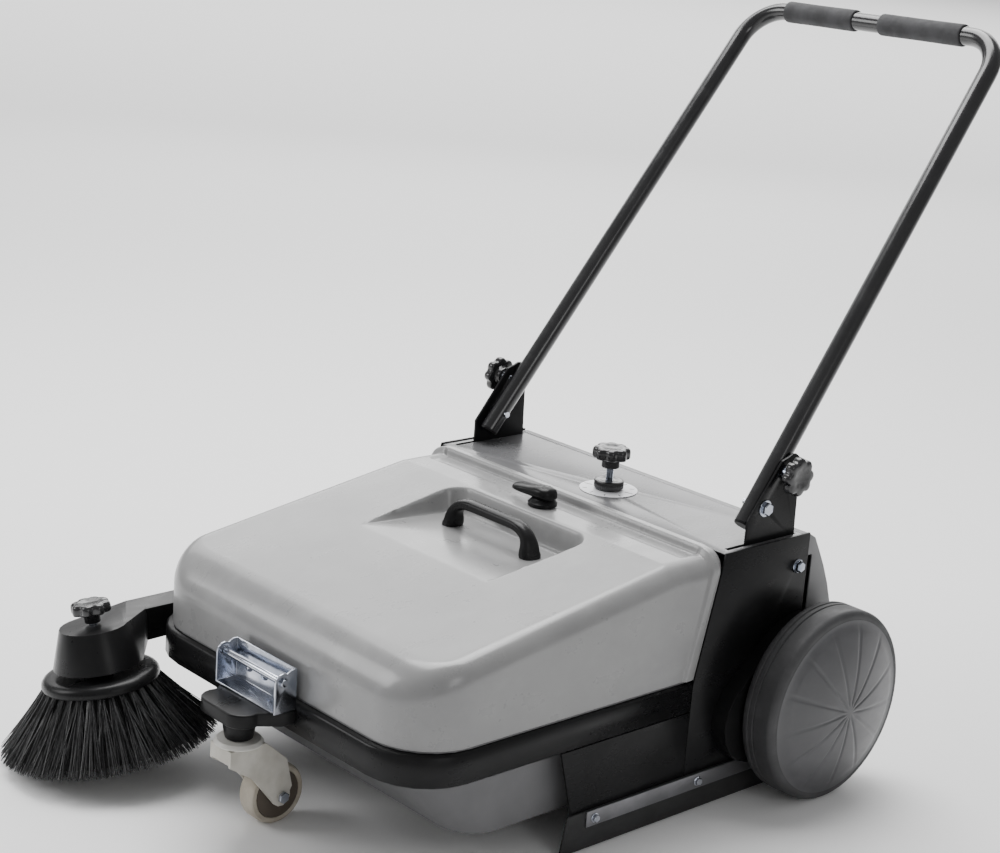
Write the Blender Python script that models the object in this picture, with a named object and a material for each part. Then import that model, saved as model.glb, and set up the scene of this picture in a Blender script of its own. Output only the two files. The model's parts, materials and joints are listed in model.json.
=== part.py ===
"""Walk-behind sweeper for commercial floors, at rest with its handle locked upright.

Metres, +Z up, +Y towards the operator, +X on the operator's left. Sizes are worked out in a
design frame whose origin is on the floor under the middle of the wheel axle; every body is then
shifted so that the world origin is the centre of the machine's footprint.
"""

import math

import bmesh
import bpy
from mathutils import Matrix, Vector

# ---- driving dimensions ----
FLOOR_CENTRE = Vector((-0.0062, -0.2234, 0.0))  # footprint centre in the design frame
GAP = 0.0003  # between pieces that touch

WHEEL_R = 0.125
AXLE_R = 0.008
BORE_R = 0.0083
TYRE_IN, TYRE_OUT = 0.292, 0.342
HUB_R = 0.0992
DISC_R = 0.114
DISC_DOME = 0.0195

HALF_WIDTH = 0.266  # outside of the side plates
PLATE = 0.003
TOP_Z = 0.3305
PLATE_TOP = 0.332
PLATE_FRONT = ((-0.152, PLATE_TOP), (-0.189, 0.168))  # slanted front edge of the side plates
PLATE_LOW = 0.0300

BAND_TOP, BAND_LOW = 0.1735, 0.134
BAND_OUT, BAND_IN = 0.268, 0.250
BAND_FRONT = -0.632
CORNER_R = 0.078

HOPPER_X = 0.2625
HOPPER_FRONT = -0.624
HOPPER_LOW = 0.1763
HOPPER_FLAT = 0.326
CREASE_Y = -0.235
HOPPER_SLOPE = 0.162
SIDE_ROUND, FRONT_ROUND = 0.026, 0.046  # radii of the hood's upper edges
CORNER_SHIFT = 0.012  # the roof's front corners are this much sharper
CORNER_STEPS = 7
WALL = 0.0035

TOOTH = 0.003  # gear module
TOOTH_THICK = 0.0028  # at the pitch circle
GEAR_TEETH, PINION_TEETH = 38, 21
GEAR_GAP = TOOTH * (GEAR_TEETH + PINION_TEETH) / 2
BRUSH_Z = 0.1124
BRUSH_Y = -math.sqrt(GEAR_GAP**2 - (WHEEL_R - BRUSH_Z) ** 2)
BRUSH_R = 0.108

PIVOT = (-0.074, 0.373)  # (y, z) of the handle's pivot bolts
CLAMP = (-0.044, 0.415)  # (y, z) of the handle's clamping studs
TUBE_R = 0.0125
TUBE_FOOT = (0.236, -0.092, 0.351)
TUBE_TOP = (0.212, 0.360, 0.934)
TUBE_BEND = 0.055
GRIP_R = 0.0150
LEFT_GRIP, RIGHT_GRIP = (0.012, 0.148), (0.034, 0.155)  # distances out from the middle
KNOB_R = 0.025

SCREW_Y, SCREW_X = -0.092, 0.003  # height adjuster
ARM_ROOT = (-0.4900, 0.165)  # (y, z) of the side brush arm's end; its hinge is 8 mm below
ARM_BEND = (-0.293, -0.628)  # (x, y) of the arm's corner
SIDE_BRUSH = Vector((-0.2568, -0.6964, 0.1171))  # middle of the bristle disc
SIDE_AXIS = Vector((-0.150, -0.093, 1.0)).normalized()
SWIVEL_Y = -0.668
CASTER_Y, CASTER_R = -0.618, 0.038
FRONT_BAR = (-0.652, 0.203)  # (y, z)
FRONT_BAR_R, FRONT_BAR_HALF = 0.0045, 0.062
LATCH_Y = -0.208

COLOURS = {  # name: (red, green, blue, roughness, metallic)
    "grey_plastic": (0.40, 0.40, 0.40, 0.35, 0.0),
    "dark_plastic": (0.085, 0.085, 0.09, 0.45, 0.0),
    "grey_paint": (0.16, 0.16, 0.165, 0.28, 0.3),
    "black_paint": (0.010, 0.010, 0.011, 0.35, 0.2),
    "zinc": (0.62, 0.64, 0.68, 0.25, 1.0),
    "rubber": (0.018, 0.018, 0.019, 0.8, 0.0),
    "tyre": (0.045, 0.045, 0.048, 0.65, 0.0),
    "wheel_disc": (0.070, 0.070, 0.074, 0.4, 0.0),
    "black_plastic": (0.016, 0.016, 0.017, 0.3, 0.0),
    "foam": (0.050, 0.050, 0.052, 0.9, 0.0),
    "bristle": (0.014, 0.014, 0.015, 0.6, 0.0),
    "label": (0.82, 0.82, 0.84, 0.4, 0.0),
    "caster_plastic": (0.60, 0.58, 0.52, 0.45, 0.0),
    "caster_tread": (0.42, 0.38, 0.31, 0.55, 0.0),
}


# ---- scene, materials and bodies ----
def clear_scene():
    for old in list(bpy.data.objects):
        bpy.data.objects.remove(old)


def material(name):
    found = bpy.data.materials.get(name)
    if found:
        return found
    red, green, blue, rough, metal = COLOURS[name]
    made = bpy.data.materials.new(name)
    made.use_nodes = True
    shader = made.node_tree.nodes["Principled BSDF"]
    shader.inputs["Base Color"].default_value = (red, green, blue, 1.0)
    shader.inputs["Roughness"].default_value = rough
    shader.inputs["Metallic"].default_value = metal
    made.diffuse_color = (red, green, blue, 1.0)
    return made


def body(name, point=(0.0, 0.0, 0.0), turn=None):
    """An empty on a body's joint axis; every piece of the body hangs from it."""
    frame = Matrix.Translation(point) @ (turn or Matrix())
    empty = bpy.data.objects.new("axis_" + name, None)
    bpy.context.scene.collection.objects.link(empty)
    empty.matrix_world = Matrix.Translation(-FLOOR_CENTRE) @ frame
    return empty, frame.inverted()


def place(name, bm, owner, finish=None, smooth=35):
    """Turns a bmesh in the design frame into an object of its body."""
    empty, to_body = owner
    bm.normal_update()
    bmesh.ops.recalc_face_normals(bm, faces=bm.faces)
    bm.transform(to_body)
    mesh = bpy.data.meshes.new(name)
    bm.to_mesh(mesh)
    bm.free()
    if finish:
        mesh.materials.append(material(finish))
    mesh.shade_smooth()
    mesh.set_sharp_from_angle(angle=math.radians(smooth))
    made = bpy.data.objects.new(name, mesh)
    bpy.context.scene.collection.objects.link(made)
    made.parent = empty
    return made


def boolean(target, bm, owner, operation="DIFFERENCE"):
    """Cuts a helper solid out of an object, or joins it on."""
    step = len(target.modifiers) + 1
    helper = place(f"{target.name}_tool_{step}", bm, owner)
    helper.hide_render = True
    helper.display_type = "WIRE"
    change = target.modifiers.new(f"{operation.lower()}_{step}", "BOOLEAN")
    change.object = helper
    change.operation = operation
    change.solver = "EXACT"
    return helper


# ---- shapes ----
def box(low, high):
    bm = bmesh.new()
    low, high = Vector(low), Vector(high)
    spread = Matrix.Translation((low + high) / 2) @ Matrix.Diagonal((*(high - low), 1.0))
    bmesh.ops.create_cube(bm, size=1.0, matrix=spread)
    return bm


def loft(rings):
    """A closed solid skinned over rings of points, each ring in the same order."""
    bm = bmesh.new()
    rows = [[bm.verts.new(point) for point in ring] for ring in rings]
    for row, after in zip(rows, rows[1:]):
        for k in range(len(row)):
            bm.faces.new((row[k - 1], row[k], after[k], after[k - 1]))
    bm.faces.new(rows[0])
    bm.faces.new(rows[-1])
    return bm


def prism(outline, axis, low, high):
    """An outline pushed along X (outline in y, z), Y (in x, z) or Z (in x, y)."""
    spot = {
        "X": lambda a, b, along: (along, a, b),
        "Y": lambda a, b, along: (a, along, b),
        "Z": lambda a, b, along: (a, b, along),
    }[axis]
    return loft([[spot(a, b, along) for a, b in outline] for along in (low, high)])


def turned(profile, steps=24):
    """A profile of (radius, height) turned about Z: closed on itself if it misses the axis."""
    bm = bmesh.new()
    verts = [bm.verts.new((radius, 0.0, height)) for radius, height in profile]
    edges = [bm.edges.new(pair) for pair in zip(verts, verts[1:])]
    if profile[0][0] > 0 and profile[-1][0] > 0:
        edges.append(bm.edges.new((verts[-1], verts[0])))
    bmesh.ops.spin(
        bm, geom=verts + edges, axis=(0, 0, 1), cent=(0, 0, 0), angle=math.tau, steps=steps, use_merge=True
    )
    bmesh.ops.remove_doubles(bm, verts=bm.verts, dist=1e-6)
    return bm


def along_x(bm, y, z, side=1):
    """Lays a solid turned about Z along X through (y, z); side -1 mirrors it to the right."""
    bm.transform(Matrix.Translation((0.0, y, z)) @ Matrix.Rotation(math.pi / 2, 4, "Y"))
    return flipped(bm, side)


def flipped(bm, side):
    if side < 0:
        bm.transform(Matrix.Diagonal((-1.0, 1.0, 1.0, 1.0)))
    return bm


def rod(radius, low, high, steps=20):
    return turned([(0.0, low), (radius, low), (radius, high), (0.0, high)], steps)


def pipe(inner, outer, low, high, steps=24):
    return turned([(inner, low), (outer, low), (outer, high), (inner, high)], steps)


def arc(centre, radius, start, end, steps):
    """Points of a round stretch, from start to end in degrees."""
    angles = [math.radians(start + (end - start) * k / steps) for k in range(steps + 1)]
    return [(centre[0] + radius * math.cos(a), centre[1] + radius * math.sin(a)) for a in angles]


def rounded_front(half, front, rear, radius, steps=6):
    """Plan outline of a box that is rounded at its two front corners."""
    right = arc((-half + radius, front + radius), radius, 180, 270, steps)
    left = arc((half - radius, front + radius), radius, 270, 360, steps)
    return [(-half, rear), *right, *left, (half, rear)]


def swept(path, radius, sides=12, across=(1, 0, 0), wide=1.0):
    """A bar along a path; its section is wide times as wide along across as it is thick."""
    points = [Vector(point) for point in path]
    across = Vector(across)
    rings = []
    for k, point in enumerate(points):
        ahead = points[min(k + 1, len(points) - 1)] - points[max(k - 1, 0)]
        ahead.normalize()
        across = (across - ahead * across.dot(ahead)).normalized()
        other = ahead.cross(across)
        ring = []
        for s in range(sides):
            a = math.tau * s / sides
            ring.append(point + radius * (across * math.cos(a) * wide + other * math.sin(a)))
        rings.append(ring)
    return loft(rings)


def bent(corners, radius, steps=6):
    """A path through corner points, with each inner corner rounded."""
    path = [Vector(corners[0])]
    for before, corner, after in zip(corners, corners[1:], corners[2:]):
        corner = Vector(corner)
        to_start = (Vector(before) - corner).normalized()
        to_end = (Vector(after) - corner).normalized()
        half = to_start.angle(to_end) / 2
        middle = corner + (to_start + to_end).normalized() * (radius / math.sin(half))
        start = corner + to_start * (radius / math.tan(half)) - middle
        end = corner + to_end * (radius / math.tan(half)) - middle
        path += [middle + start.slerp(end, k / steps).normalized() * radius for k in range(steps + 1)]
    return path + [Vector(corners[-1])]


def star(radius=KNOB_R, lobes=8, steps=32):
    """Outline of a star knob."""
    wave = 0.075 * radius
    spots = []
    for k in range(steps):
        a = math.tau * k / steps
        reach = radius - wave + wave * math.cos(lobes * a)
        spots.append((reach * math.cos(a), reach * math.sin(a)))
    return spots


def star_knob(thick, hub_r, hub, stud_r, stud):
    """A star head of the given thickness on +Z, with its hub and stud below; three solids."""
    outline = star()
    inner = [(0.86 * x, 0.86 * y) for x, y in outline]
    rings = [(inner, 0.0), (outline, 0.15 * thick), (outline, 0.8 * thick), (inner, thick)]
    head = loft([[(x, y, z) for x, y in spots] for spots, z in rings])
    return head, rod(hub_r, -hub, 0.3 * thick), rod(stud_r, -hub - stud, 0.2 * thick, 16)


def gear(teeth, toward):
    """(y, z) outline of a gear with one tooth centred on the angle toward."""
    pitch_r = TOOTH * teeth / 2
    spots = []
    for k in range(teeth):
        middle = toward + math.tau * k / teeth
        for out, half in ((-0.0034, 0.0012), (0.0026, -0.00095)):
            spots.append((pitch_r + out, middle, TOOTH_THICK / 2 + half))
    outline = []
    for root, tip in zip(spots[::2], spots[1::2]):
        for reach, middle, half, side in ((*root, -1), (*tip, -1), (*tip, 1), (*root, 1)):
            angle = middle + side * half / reach
            outline.append((reach * math.cos(angle), reach * math.sin(angle)))
    return outline


def shifted(outline, y, z):
    return [(a + y, b + z) for a, b in outline]


SIDES = ((1, "left"), (-1, "right"))


# ---- frame ----
def side_plates(chassis):
    """Black steel cheeks that carry the axle, the handle brackets and the top cover."""
    (top_y, top_z), (knee_y, knee_z) = PLATE_FRONT
    outline = [(top_y, top_z), (0.005, top_z), (0.005, PLATE_LOW), (knee_y, PLATE_LOW), (knee_y, knee_z)]
    for side, word in SIDES:
        plate = prism(outline, "X", HALF_WIDTH - PLATE, HALF_WIDTH)
        made = place(f"side_plate_{word}", flipped(plate, side), chassis, "black_paint")
        boolean(made, along_x(rod(BORE_R, 0.25, 0.28, 24), 0.0, WHEEL_R, side), chassis)
        boolean(made, along_x(rod(0.020, 0.25, 0.28), BRUSH_Y, BRUSH_Z, side), chassis)


def top_cover(chassis):
    """Folded lid over the brush chamber, slotted for the handle brackets."""
    lid = box((-0.2627, -0.1517, TOP_Z - 0.0015), (0.2627, -0.0040, TOP_Z))
    made = place("top_cover", lid, chassis, "grey_paint")
    for side in (1, -1):
        slot = flipped(box((0.2485, -0.137, 0.30), (0.2545, -0.010, 0.36)), side)
        boolean(made, slot, chassis)
    hole = rod(0.0065, 0.30, 0.36)
    hole.transform(Matrix.Translation((SCREW_X, SCREW_Y, 0.0)))
    boolean(made, hole, chassis)


def rear_hood(chassis):
    """Rounded shell behind the brush, open at the front and underneath."""
    outer = [(-0.0037, TOP_Z), (0.008, TOP_Z - 0.001), (0.021, 0.322), (0.032, 0.303), (0.044, 0.281)]
    outer += [(0.056, 0.255), (0.067, 0.224), (0.075, 0.185), (0.080, 0.135), (0.081, 0.070)]
    front = [(0.018, 0.070), (0.018, 0.300), (-0.0037, 0.300)]
    shell = prism([*outer, *front], "X", -0.2624, 0.2624)
    made = place("rear_hood", shell, chassis, "grey_plastic")
    inner = [(y - 0.0025, z - 0.0022) for y, z in outer[1:-1]]
    inner = [(-0.020, TOP_Z - 0.0025), *inner, (0.0785, 0.050), (-0.020, 0.050)]
    boolean(made, prism(inner, "X", -0.2600, 0.2600), chassis)
    flap = box((-0.255, 0.0745, 0.0015), (0.255, 0.0775, 0.068))
    place("rear_flap", flap, chassis, "rubber")


def frame_band(chassis):
    """Bumper that wraps the hopper, and that the hopper's rim rests on."""
    outer = rounded_front(BAND_OUT, BAND_FRONT, -0.1898, CORNER_R + 0.004)
    made = place("frame_band", prism(outer, "Z", BAND_LOW, BAND_TOP), chassis, "black_plastic")
    inner = rounded_front(BAND_IN, BAND_FRONT + 0.018, -0.15, CORNER_R - 0.014)
    boolean(made, prism(inner, "Z", 0.10, 0.20), chassis)
    soften = made.modifiers.new("soft_edges", "BEVEL")
    soften.width = 0.003
    soften.segments = 1
    soften.angle_limit = math.radians(60)


def skirts(chassis):
    """Side panels under the band, with rubber skirts held by zinc strips."""
    panel = [(-0.406, BAND_LOW - GAP), (-0.1895, BAND_LOW - GAP), (-0.1895, PLATE_LOW), (-0.376, PLATE_LOW)]
    rubber = [(-0.389, 0.050), (0.005, 0.050), (0.005, 0.0015), (-0.398, 0.0015)]
    for side, word in SIDES:
        made = flipped(prism(panel, "X", HALF_WIDTH - PLATE, HALF_WIDTH), side)
        place(f"skirt_panel_{word}", made, chassis, "black_paint")
        made = flipped(prism(rubber, "X", HALF_WIDTH + GAP, HALF_WIDTH + 0.0033), side)
        place(f"side_rubber_{word}", made, chassis, "rubber")
        made = flipped(box((HALF_WIDTH + 0.0036, -0.360, 0.030), (HALF_WIDTH + 0.0056, 0.004, 0.050)), side)
        place(f"skirt_strip_{word}", made, chassis, "zinc")


def handle_brackets(chassis):
    """Plates that stand up through the cover's slots and hold the handle."""
    outline = [(-0.100, 0.276), (0.002, 0.276), (0.002, 0.322), (-0.012, 0.322), (-0.016, 0.427)]
    outline += arc((-0.0290, 0.424), 0.013, 10, 130, 4)
    outline += [(-0.0500, 0.430), (-0.104, 0.361), (-0.104, 0.322)]
    for side, word in SIDES:
        plate = flipped(prism(outline, "X", 0.250, 0.253), side)
        made = place(f"handle_bracket_{word}", plate, chassis, "black_paint")
        for y, z in (PIVOT, CLAMP):
            boolean(made, along_x(rod(0.0043, 0.24, 0.26, 16), y, z, side), chassis)


def axles_and_covers(chassis):
    """Stub axles in the side plates, and the covers over the drives inside the wheels."""
    profile = [(0.0, 0.2445), (AXLE_R, 0.2445), (AXLE_R, 0.2565), (0.013, 0.2565), (0.013, 0.2627)]
    profile += [(AXLE_R, 0.2627), (AXLE_R, 0.3412), (0.0, 0.3412)]
    for side, word in SIDES:
        place(f"axle_{word}", along_x(turned(profile, 24), 0.0, WHEEL_R, side), chassis, "zinc")
        shell = flipped(cover_solid(0.0, 0.2663, 0.2890), side)
        made = place(f"drive_cover_{word}", shell, chassis, "black_plastic")
        boolean(made, flipped(cover_solid(0.003, 0.2600, 0.2865), side), chassis)
        boolean(made, along_x(rod(0.027, 0.27, 0.30), 0.0, WHEEL_R, side), chassis)


def cover_solid(inset, low, high, big=0.105, small=0.060, under=0.054):
    """Solid around the gear's circle and the pinion's, flat underneath to clear the skirt."""
    spots = arc((0.0, WHEEL_R), big - inset, 0, 350, 35)
    spots += arc((BRUSH_Y, BRUSH_Z), small - inset, 0, 340, 17)
    return hull([(x, y, max(z, under + inset)) for y, z in spots for x in (low, high)])


def scale_label(chassis):
    """Printed ring around the height adjuster."""
    ring = pipe(0.017, 0.0384, TOP_Z + GAP, TOP_Z + 0.0009, 40)
    ring.transform(Matrix.Translation((SCREW_X, SCREW_Y, 0.0)))
    place("scale_label", ring, chassis, "label")


def front_parts(chassis):
    """Caster plate and stem, and the zinc bracket with its bar."""
    y_back = BAND_FRONT - GAP
    left = [(0.060, y_back), (0.058, -0.650), *arc((0.022, -0.681), 0.022, 20, -90, 5)]
    outline = left + [(-x, y) for x, y in reversed(left)]
    place("caster_plate", prism(outline, "Z", 0.148, 0.165), chassis, "black_plastic")
    stem = turned([(0.0, 0.1185), (0.0165, 0.1185), (0.022, 0.1477), (0.0, 0.1477)], 24)
    stem.transform(Matrix.Translation((0.0, SWIVEL_Y, 0.0)))
    place("caster_stem", stem, chassis, "black_plastic")
    ear = [(y_back, 0.1653), (-0.663, 0.1653), (-0.663, 0.196), *arc(FRONT_BAR, 0.011, 180, 60, 4)]
    ear += [(-0.640, 0.216), (y_back, 0.216)]
    made = place("front_bracket", prism(ear, "X", -0.0585, 0.0585), chassis, "zinc")
    hollow = box((-0.0560, -0.670, 0.1678), (0.0560, y_back - 0.0025, 0.230))
    boolean(made, hollow, chassis)
    for side in (1, -1):
        boolean(made, along_x(rod(FRONT_BAR_R + GAP, 0.050, 0.062, 16), *FRONT_BAR, side), chassis)
    bar = along_x(rod(FRONT_BAR_R, -FRONT_BAR_HALF, FRONT_BAR_HALF, 16), *FRONT_BAR)
    place("front_bar", bar, chassis, "zinc")


def arm_bracket(chassis):
    """Plate and pin on the band's right side that the side brush arm swings on."""
    y, z = ARM_ROOT
    plate = flipped(box((0.2683, y - 0.028, 0.137), (0.2713, y + 0.028, 0.1725)), -1)
    made = place("side_arm_bracket", plate, chassis, "black_paint")
    boolean(made, along_x(rod(0.006, 0.270, 0.3115), y, z - 0.008, -1), chassis, "UNION")


# ---- wheels and brushes ----
def wheels(left, right):
    tyre = [(0.100, TYRE_IN), (0.117, TYRE_IN), (0.1225, 0.2955), (WHEEL_R, 0.301)]
    tyre += [(WHEEL_R, 0.3335), (0.1225, 0.3390), (0.117, TYRE_OUT), (0.100, TYRE_OUT)]
    hub = [(BORE_R, 0.2913), (0.026, 0.2913), (0.028, 0.308), (HUB_R, 0.300)]
    hub += [(HUB_R, 0.338), (0.028, 0.318), (0.024, 0.3410), (BORE_R, 0.3410)]
    reach = [DISC_R * k / 4 for k in range(5)]
    dome = [(r, TYRE_OUT + 0.0022 + DISC_DOME * (1 - (r / DISC_R) ** 2) ** 1.1) for r in reach]
    under = [(r, x - 0.0019) for r, x in dome]
    for (side, word), owner in zip(SIDES, (left, right)):
        place(f"tyre_{word}", along_x(turned(tyre, 40), 0.0, WHEEL_R, side), owner, "tyre")
        place(f"wheel_hub_{word}", along_x(turned(hub, 28), 0.0, WHEEL_R, side), owner, "dark_plastic")
        cap = along_x(turned(dome + under[::-1], 32), 0.0, WHEEL_R, side)
        place(f"wheel_disc_{word}", cap, owner, "wheel_disc")


def main_drive(left, brush):
    """Gear on the left wheel and the pinion that it turns the main brush by."""
    toward = math.atan2(BRUSH_Z - WHEEL_R, BRUSH_Y)
    outline = shifted(gear(GEAR_TEETH, toward), 0.0, WHEEL_R)
    made = place("drive_gear", prism(outline, "X", 0.2705, 0.2835), left, "black_plastic", 20)
    boolean(made, along_x(rod(0.024, 0.275, 0.2910), 0.0, WHEEL_R), left, "UNION")
    boolean(made, along_x(rod(BORE_R, 0.26, 0.30, 24), 0.0, WHEEL_R), left)
    gap_toward = toward + math.pi + math.pi / PINION_TEETH
    outline = shifted(gear(PINION_TEETH, gap_toward), BRUSH_Y, BRUSH_Z)
    made = place("brush_pinion", prism(outline, "X", 0.2710, 0.2830), brush, "black_plastic", 20)
    boolean(made, along_x(rod(AXLE_R + GAP, 0.26, 0.29, 24), BRUSH_Y, BRUSH_Z), brush)


def brush_carrier(carrier):
    """Rockers on the stub axles that hold the brush, with the bar that the adjuster lifts."""
    wide = math.degrees(math.atan2(BRUSH_Z - WHEEL_R, BRUSH_Y))
    for side, word in SIDES:
        outline = arc((0.0, WHEEL_R), 0.016, -85, 60, 5)
        outline += [(-0.078, 0.250), (-0.106, 0.250)]
        outline += arc((BRUSH_Y, BRUSH_Z), 0.016, wide - 20, wide + 95, 4)
        rocker = flipped(prism(outline, "X", 0.2465, 0.2535), side)
        made = place(f"brush_rocker_{word}", rocker, carrier, "black_paint")
        boolean(made, along_x(rod(BORE_R, 0.24, 0.2565, 24), 0.0, WHEEL_R, side), carrier)
        boolean(made, along_x(rod(BORE_R, 0.24, 0.2565, 24), BRUSH_Y, BRUSH_Z, side), carrier)
    bar = box((-0.2462, SCREW_Y - 0.013, 0.236), (0.2462, SCREW_Y + 0.013, 0.248))
    made = place("lift_bar", bar, carrier, "black_paint")
    slot = box((SCREW_X - 0.0055, SCREW_Y - 0.0095, 0.22), (SCREW_X + 0.0055, SCREW_Y + 0.0095, 0.26))
    boolean(made, slot, carrier)


def main_brush(brush):
    core = [(0.0, -0.2560), (AXLE_R, -0.2560), (AXLE_R, -0.240), (0.030, -0.240), (0.030, 0.240)]
    core += [(AXLE_R, 0.240), (AXLE_R, 0.2850), (0.0, 0.2850)]
    place("main_brush_core", along_x(turned(core, 24), BRUSH_Y, BRUSH_Z), brush, "dark_plastic")
    ring = along_x(pipe(0.0304, BRUSH_R, -0.235, 0.235, 40), BRUSH_Y, BRUSH_Z)
    place("main_brush_bristles", ring, brush, "bristle")


def side_brush_turn():
    return Vector((0, 0, 1)).rotation_difference(SIDE_AXIS).to_matrix().to_4x4()


def side_brush(arm, brush, knob):
    """Tilted disc brush under its arm. Heights are along the brush's axis from the disc's top."""
    tilt = Matrix.Translation(SIDE_BRUSH) @ side_brush_turn()

    def tilted(bm):
        bm.transform(tilt)
        return bm

    disc = [(0.0, 0.0), (0.066, 0.0), (0.072, -0.004), (0.073, -0.010), (0.069, -0.015)]
    disc += [(0.0, -0.015)]
    made = place("side_brush_disc", tilted(turned(disc, 32)), brush, "black_plastic")
    boolean(made, tilted(rod(0.0085, -0.010, 0.0085)), brush, "UNION")
    tuft = [(0.030, -0.0153), (0.068, -0.0153), (0.078, -0.026), (0.103, -0.056)]
    tuft += [(0.1345, -0.0925), (0.112, -0.0925), (0.070, -0.050)]
    place("side_brush_bristles", tilted(turned(tuft, 28)), brush, "bristle")

    root_y, root_z = ARM_ROOT

    def nose(radius, height):
        return [tilt @ Vector((x, y, height)) for x, y in arc((0, 0), radius, 0, 345, 23)]

    def bend(radius, z):
        return [(x, y, z) for x, y in arc(ARM_BEND, radius, 0, 330, 11)]

    nose_outside = [*nose(0.056, 0.0093), *nose(0.054, 0.0150), *nose(0.042, 0.0580)]
    bend_outside = [*bend(0.0215, 0.134), *bend(0.0185, 0.176)]
    root = []
    for x in (-0.2720, -0.3100):
        root += [(x, y, z) for y, z in arc((root_y, root_z - 0.008), 0.0215, -60, 100, 6)]
    made = place("side_arm", hull([*nose_outside, *bend_outside]), arm, "black_plastic", 50)
    boolean(made, hull([*bend_outside, *root]), arm, "UNION")
    nose_inside = [*nose(0.0530, 0.0050), *nose(0.0390, 0.0550)]
    bend_inside = [*bend(0.0185, 0.120), *bend(0.0155, 0.173)]
    boolean(made, hull([*nose_inside, *bend_inside]), arm)
    boolean(made, along_x(rod(0.0063, 0.26, 0.32), root_y, root_z - 0.008, -1), arm)
    boolean(made, tilted(rod(0.0054, 0.04, 0.08)), arm)
    spin = star_knob(0.014, 0.010, 0.012, 0.005, 0.050)
    for bm in spin:
        bm.transform(tilt @ Matrix.Translation((0, 0, 0.0745)))
    head, hub, stud = spin
    made = place("side_brush_knob", head, knob, "black_plastic")
    boolean(made, hub, knob, "UNION")
    boolean(made, stud, knob, "UNION")


def hull(points):
    """The convex solid around a set of points."""
    bm = bmesh.new()
    for point in points:
        bm.verts.new(point)
    done = bmesh.ops.convex_hull(bm, input=bm.verts)
    spare = {v for v in done["geom_interior"] + done["geom_unused"] if isinstance(v, bmesh.types.BMVert)}
    bmesh.ops.delete(bm, geom=list(spare), context="VERTS")
    bmesh.ops.dissolve_limit(bm, angle_limit=0.01, verts=bm.verts, edges=bm.edges)
    return bm


def caster(fork_body, wheel_body):
    outline = [(-0.693, 0.112), (-0.643, 0.112), (-0.612, 0.085), (-0.603, 0.048)]
    outline += arc((CASTER_Y, CASTER_R), 0.013, 20, -140, 5)
    outline += [(-0.660, 0.070), (-0.693, 0.092)]
    made = place("caster_fork", prism(outline, "X", -0.0205, 0.0205), fork_body, "caster_plastic")
    boolean(made, box((-0.0163, -0.75, -0.01), (0.0163, -0.55, 0.094)), fork_body)
    axle = along_x(rod(0.005, -0.0235, 0.0235, 16), CASTER_Y, CASTER_R)
    boolean(made, axle, fork_body, "UNION")
    cap = turned([(0.0, 0.1123), (0.0285, 0.1123), (0.0295, 0.114), (0.026, 0.1182), (0.0, 0.1182)], 28)
    cap.transform(Matrix.Translation((0.0, SWIVEL_Y, 0.0)))
    place("caster_cap", cap, fork_body, "caster_plastic")
    core = along_x(pipe(0.0053, 0.0298, -0.0135, 0.0135, 28), CASTER_Y, CASTER_R)
    place("caster_wheel_core", core, wheel_body, "dark_plastic")
    tread = [(0.0302, -0.0135), (0.036, -0.0135), (CASTER_R, -0.009), (CASTER_R, 0.009)]
    tread += [(0.036, 0.0135), (0.0302, 0.0135)]
    place("caster_tread", along_x(turned(tread, 32), CASTER_Y, CASTER_R), wheel_body, "caster_tread")


# ---- handle ----
def handle(owner, knobs):
    foot, top = Vector(TUBE_FOOT), Vector(TUBE_TOP)
    mirror = Vector((-1, 1, 1))
    path = bent([foot, top, top * mirror, foot * mirror], TUBE_BEND)
    made = place("handle_tube", swept(path, TUBE_R, 14, (0, 1, 0)), owner, "black_paint")
    bolt_profile = [(0.0, 0.2190), (0.0041, 0.2190), (0.0041, 0.2533), (0.0085, 0.2533)]
    bolt_profile += [(0.0098, 0.2545), (0.0098, 0.2590), (0.0085, 0.2600), (0.0, 0.2600)]
    for (side, word), (low, high) in zip(SIDES, (LEFT_GRIP, RIGHT_GRIP)):
        boolean(made, along_x(rod(0.0046, 0.20, 0.26, 16), *PIVOT, side), owner)
        bolt = along_x(turned(bolt_profile, 12), *PIVOT, side)
        place(f"pivot_bolt_{word}", bolt, owner, "zinc")
        grip = flipped(along_x(pipe(TUBE_R + GAP, GRIP_R, low, high, 24), top.y, top.z), side)
        place(f"grip_{word}", grip, owner, "foam")
    for (side, word), knob in zip(SIDES, knobs):
        solids = star_knob(0.013, 0.013, 0.006, 0.0040, 0.0125)
        for bm in solids:
            bm.transform(Matrix.Translation((0, 0, 0.2680)))
            along_x(bm, *CLAMP, side)
        head, hub, stud = solids
        made = place(f"clamp_knob_{word}", head, knob, "black_plastic")
        boolean(made, hub, knob, "UNION")
        boolean(made, stud, knob, "UNION")


def height_adjuster(knob, nut):
    """Screw that sets the brush's height, its star knob, and the nut that locks it."""
    solids = star_knob(0.0155, 0.0115, 0.012, 0.0045, 0.001)
    for bm in solids:
        bm.transform(Matrix.Translation((SCREW_X, SCREW_Y, 0.373)))
    head, hub, _ = solids
    made = place("height_knob", head, knob, "black_plastic")
    boolean(made, hub, knob, "UNION")
    screw = rod(0.005, 0.2300, 0.3607)
    screw.transform(Matrix.Translation((SCREW_X, SCREW_Y, 0.0)))
    place("height_screw", screw, knob, "zinc")
    ring = [(0.0053, 0.3320), (0.0165, 0.3320), (0.020, 0.334), (0.020, 0.342), (0.017, 0.3440)]
    ring += [(0.0053, 0.3440)]
    ring = turned(ring, 32)
    ring.transform(Matrix.Translation((SCREW_X, SCREW_Y, 0.0)))
    place("lock_nut", ring, nut, "black_plastic")


# ---- hopper ----
def roof(y, lower=0.0):
    """Height of the hopper's top at y: flat behind the crease, then falling to the front."""
    return HOPPER_FLAT - lower - max(0.0, CREASE_Y - y) * HOPPER_SLOPE


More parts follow.
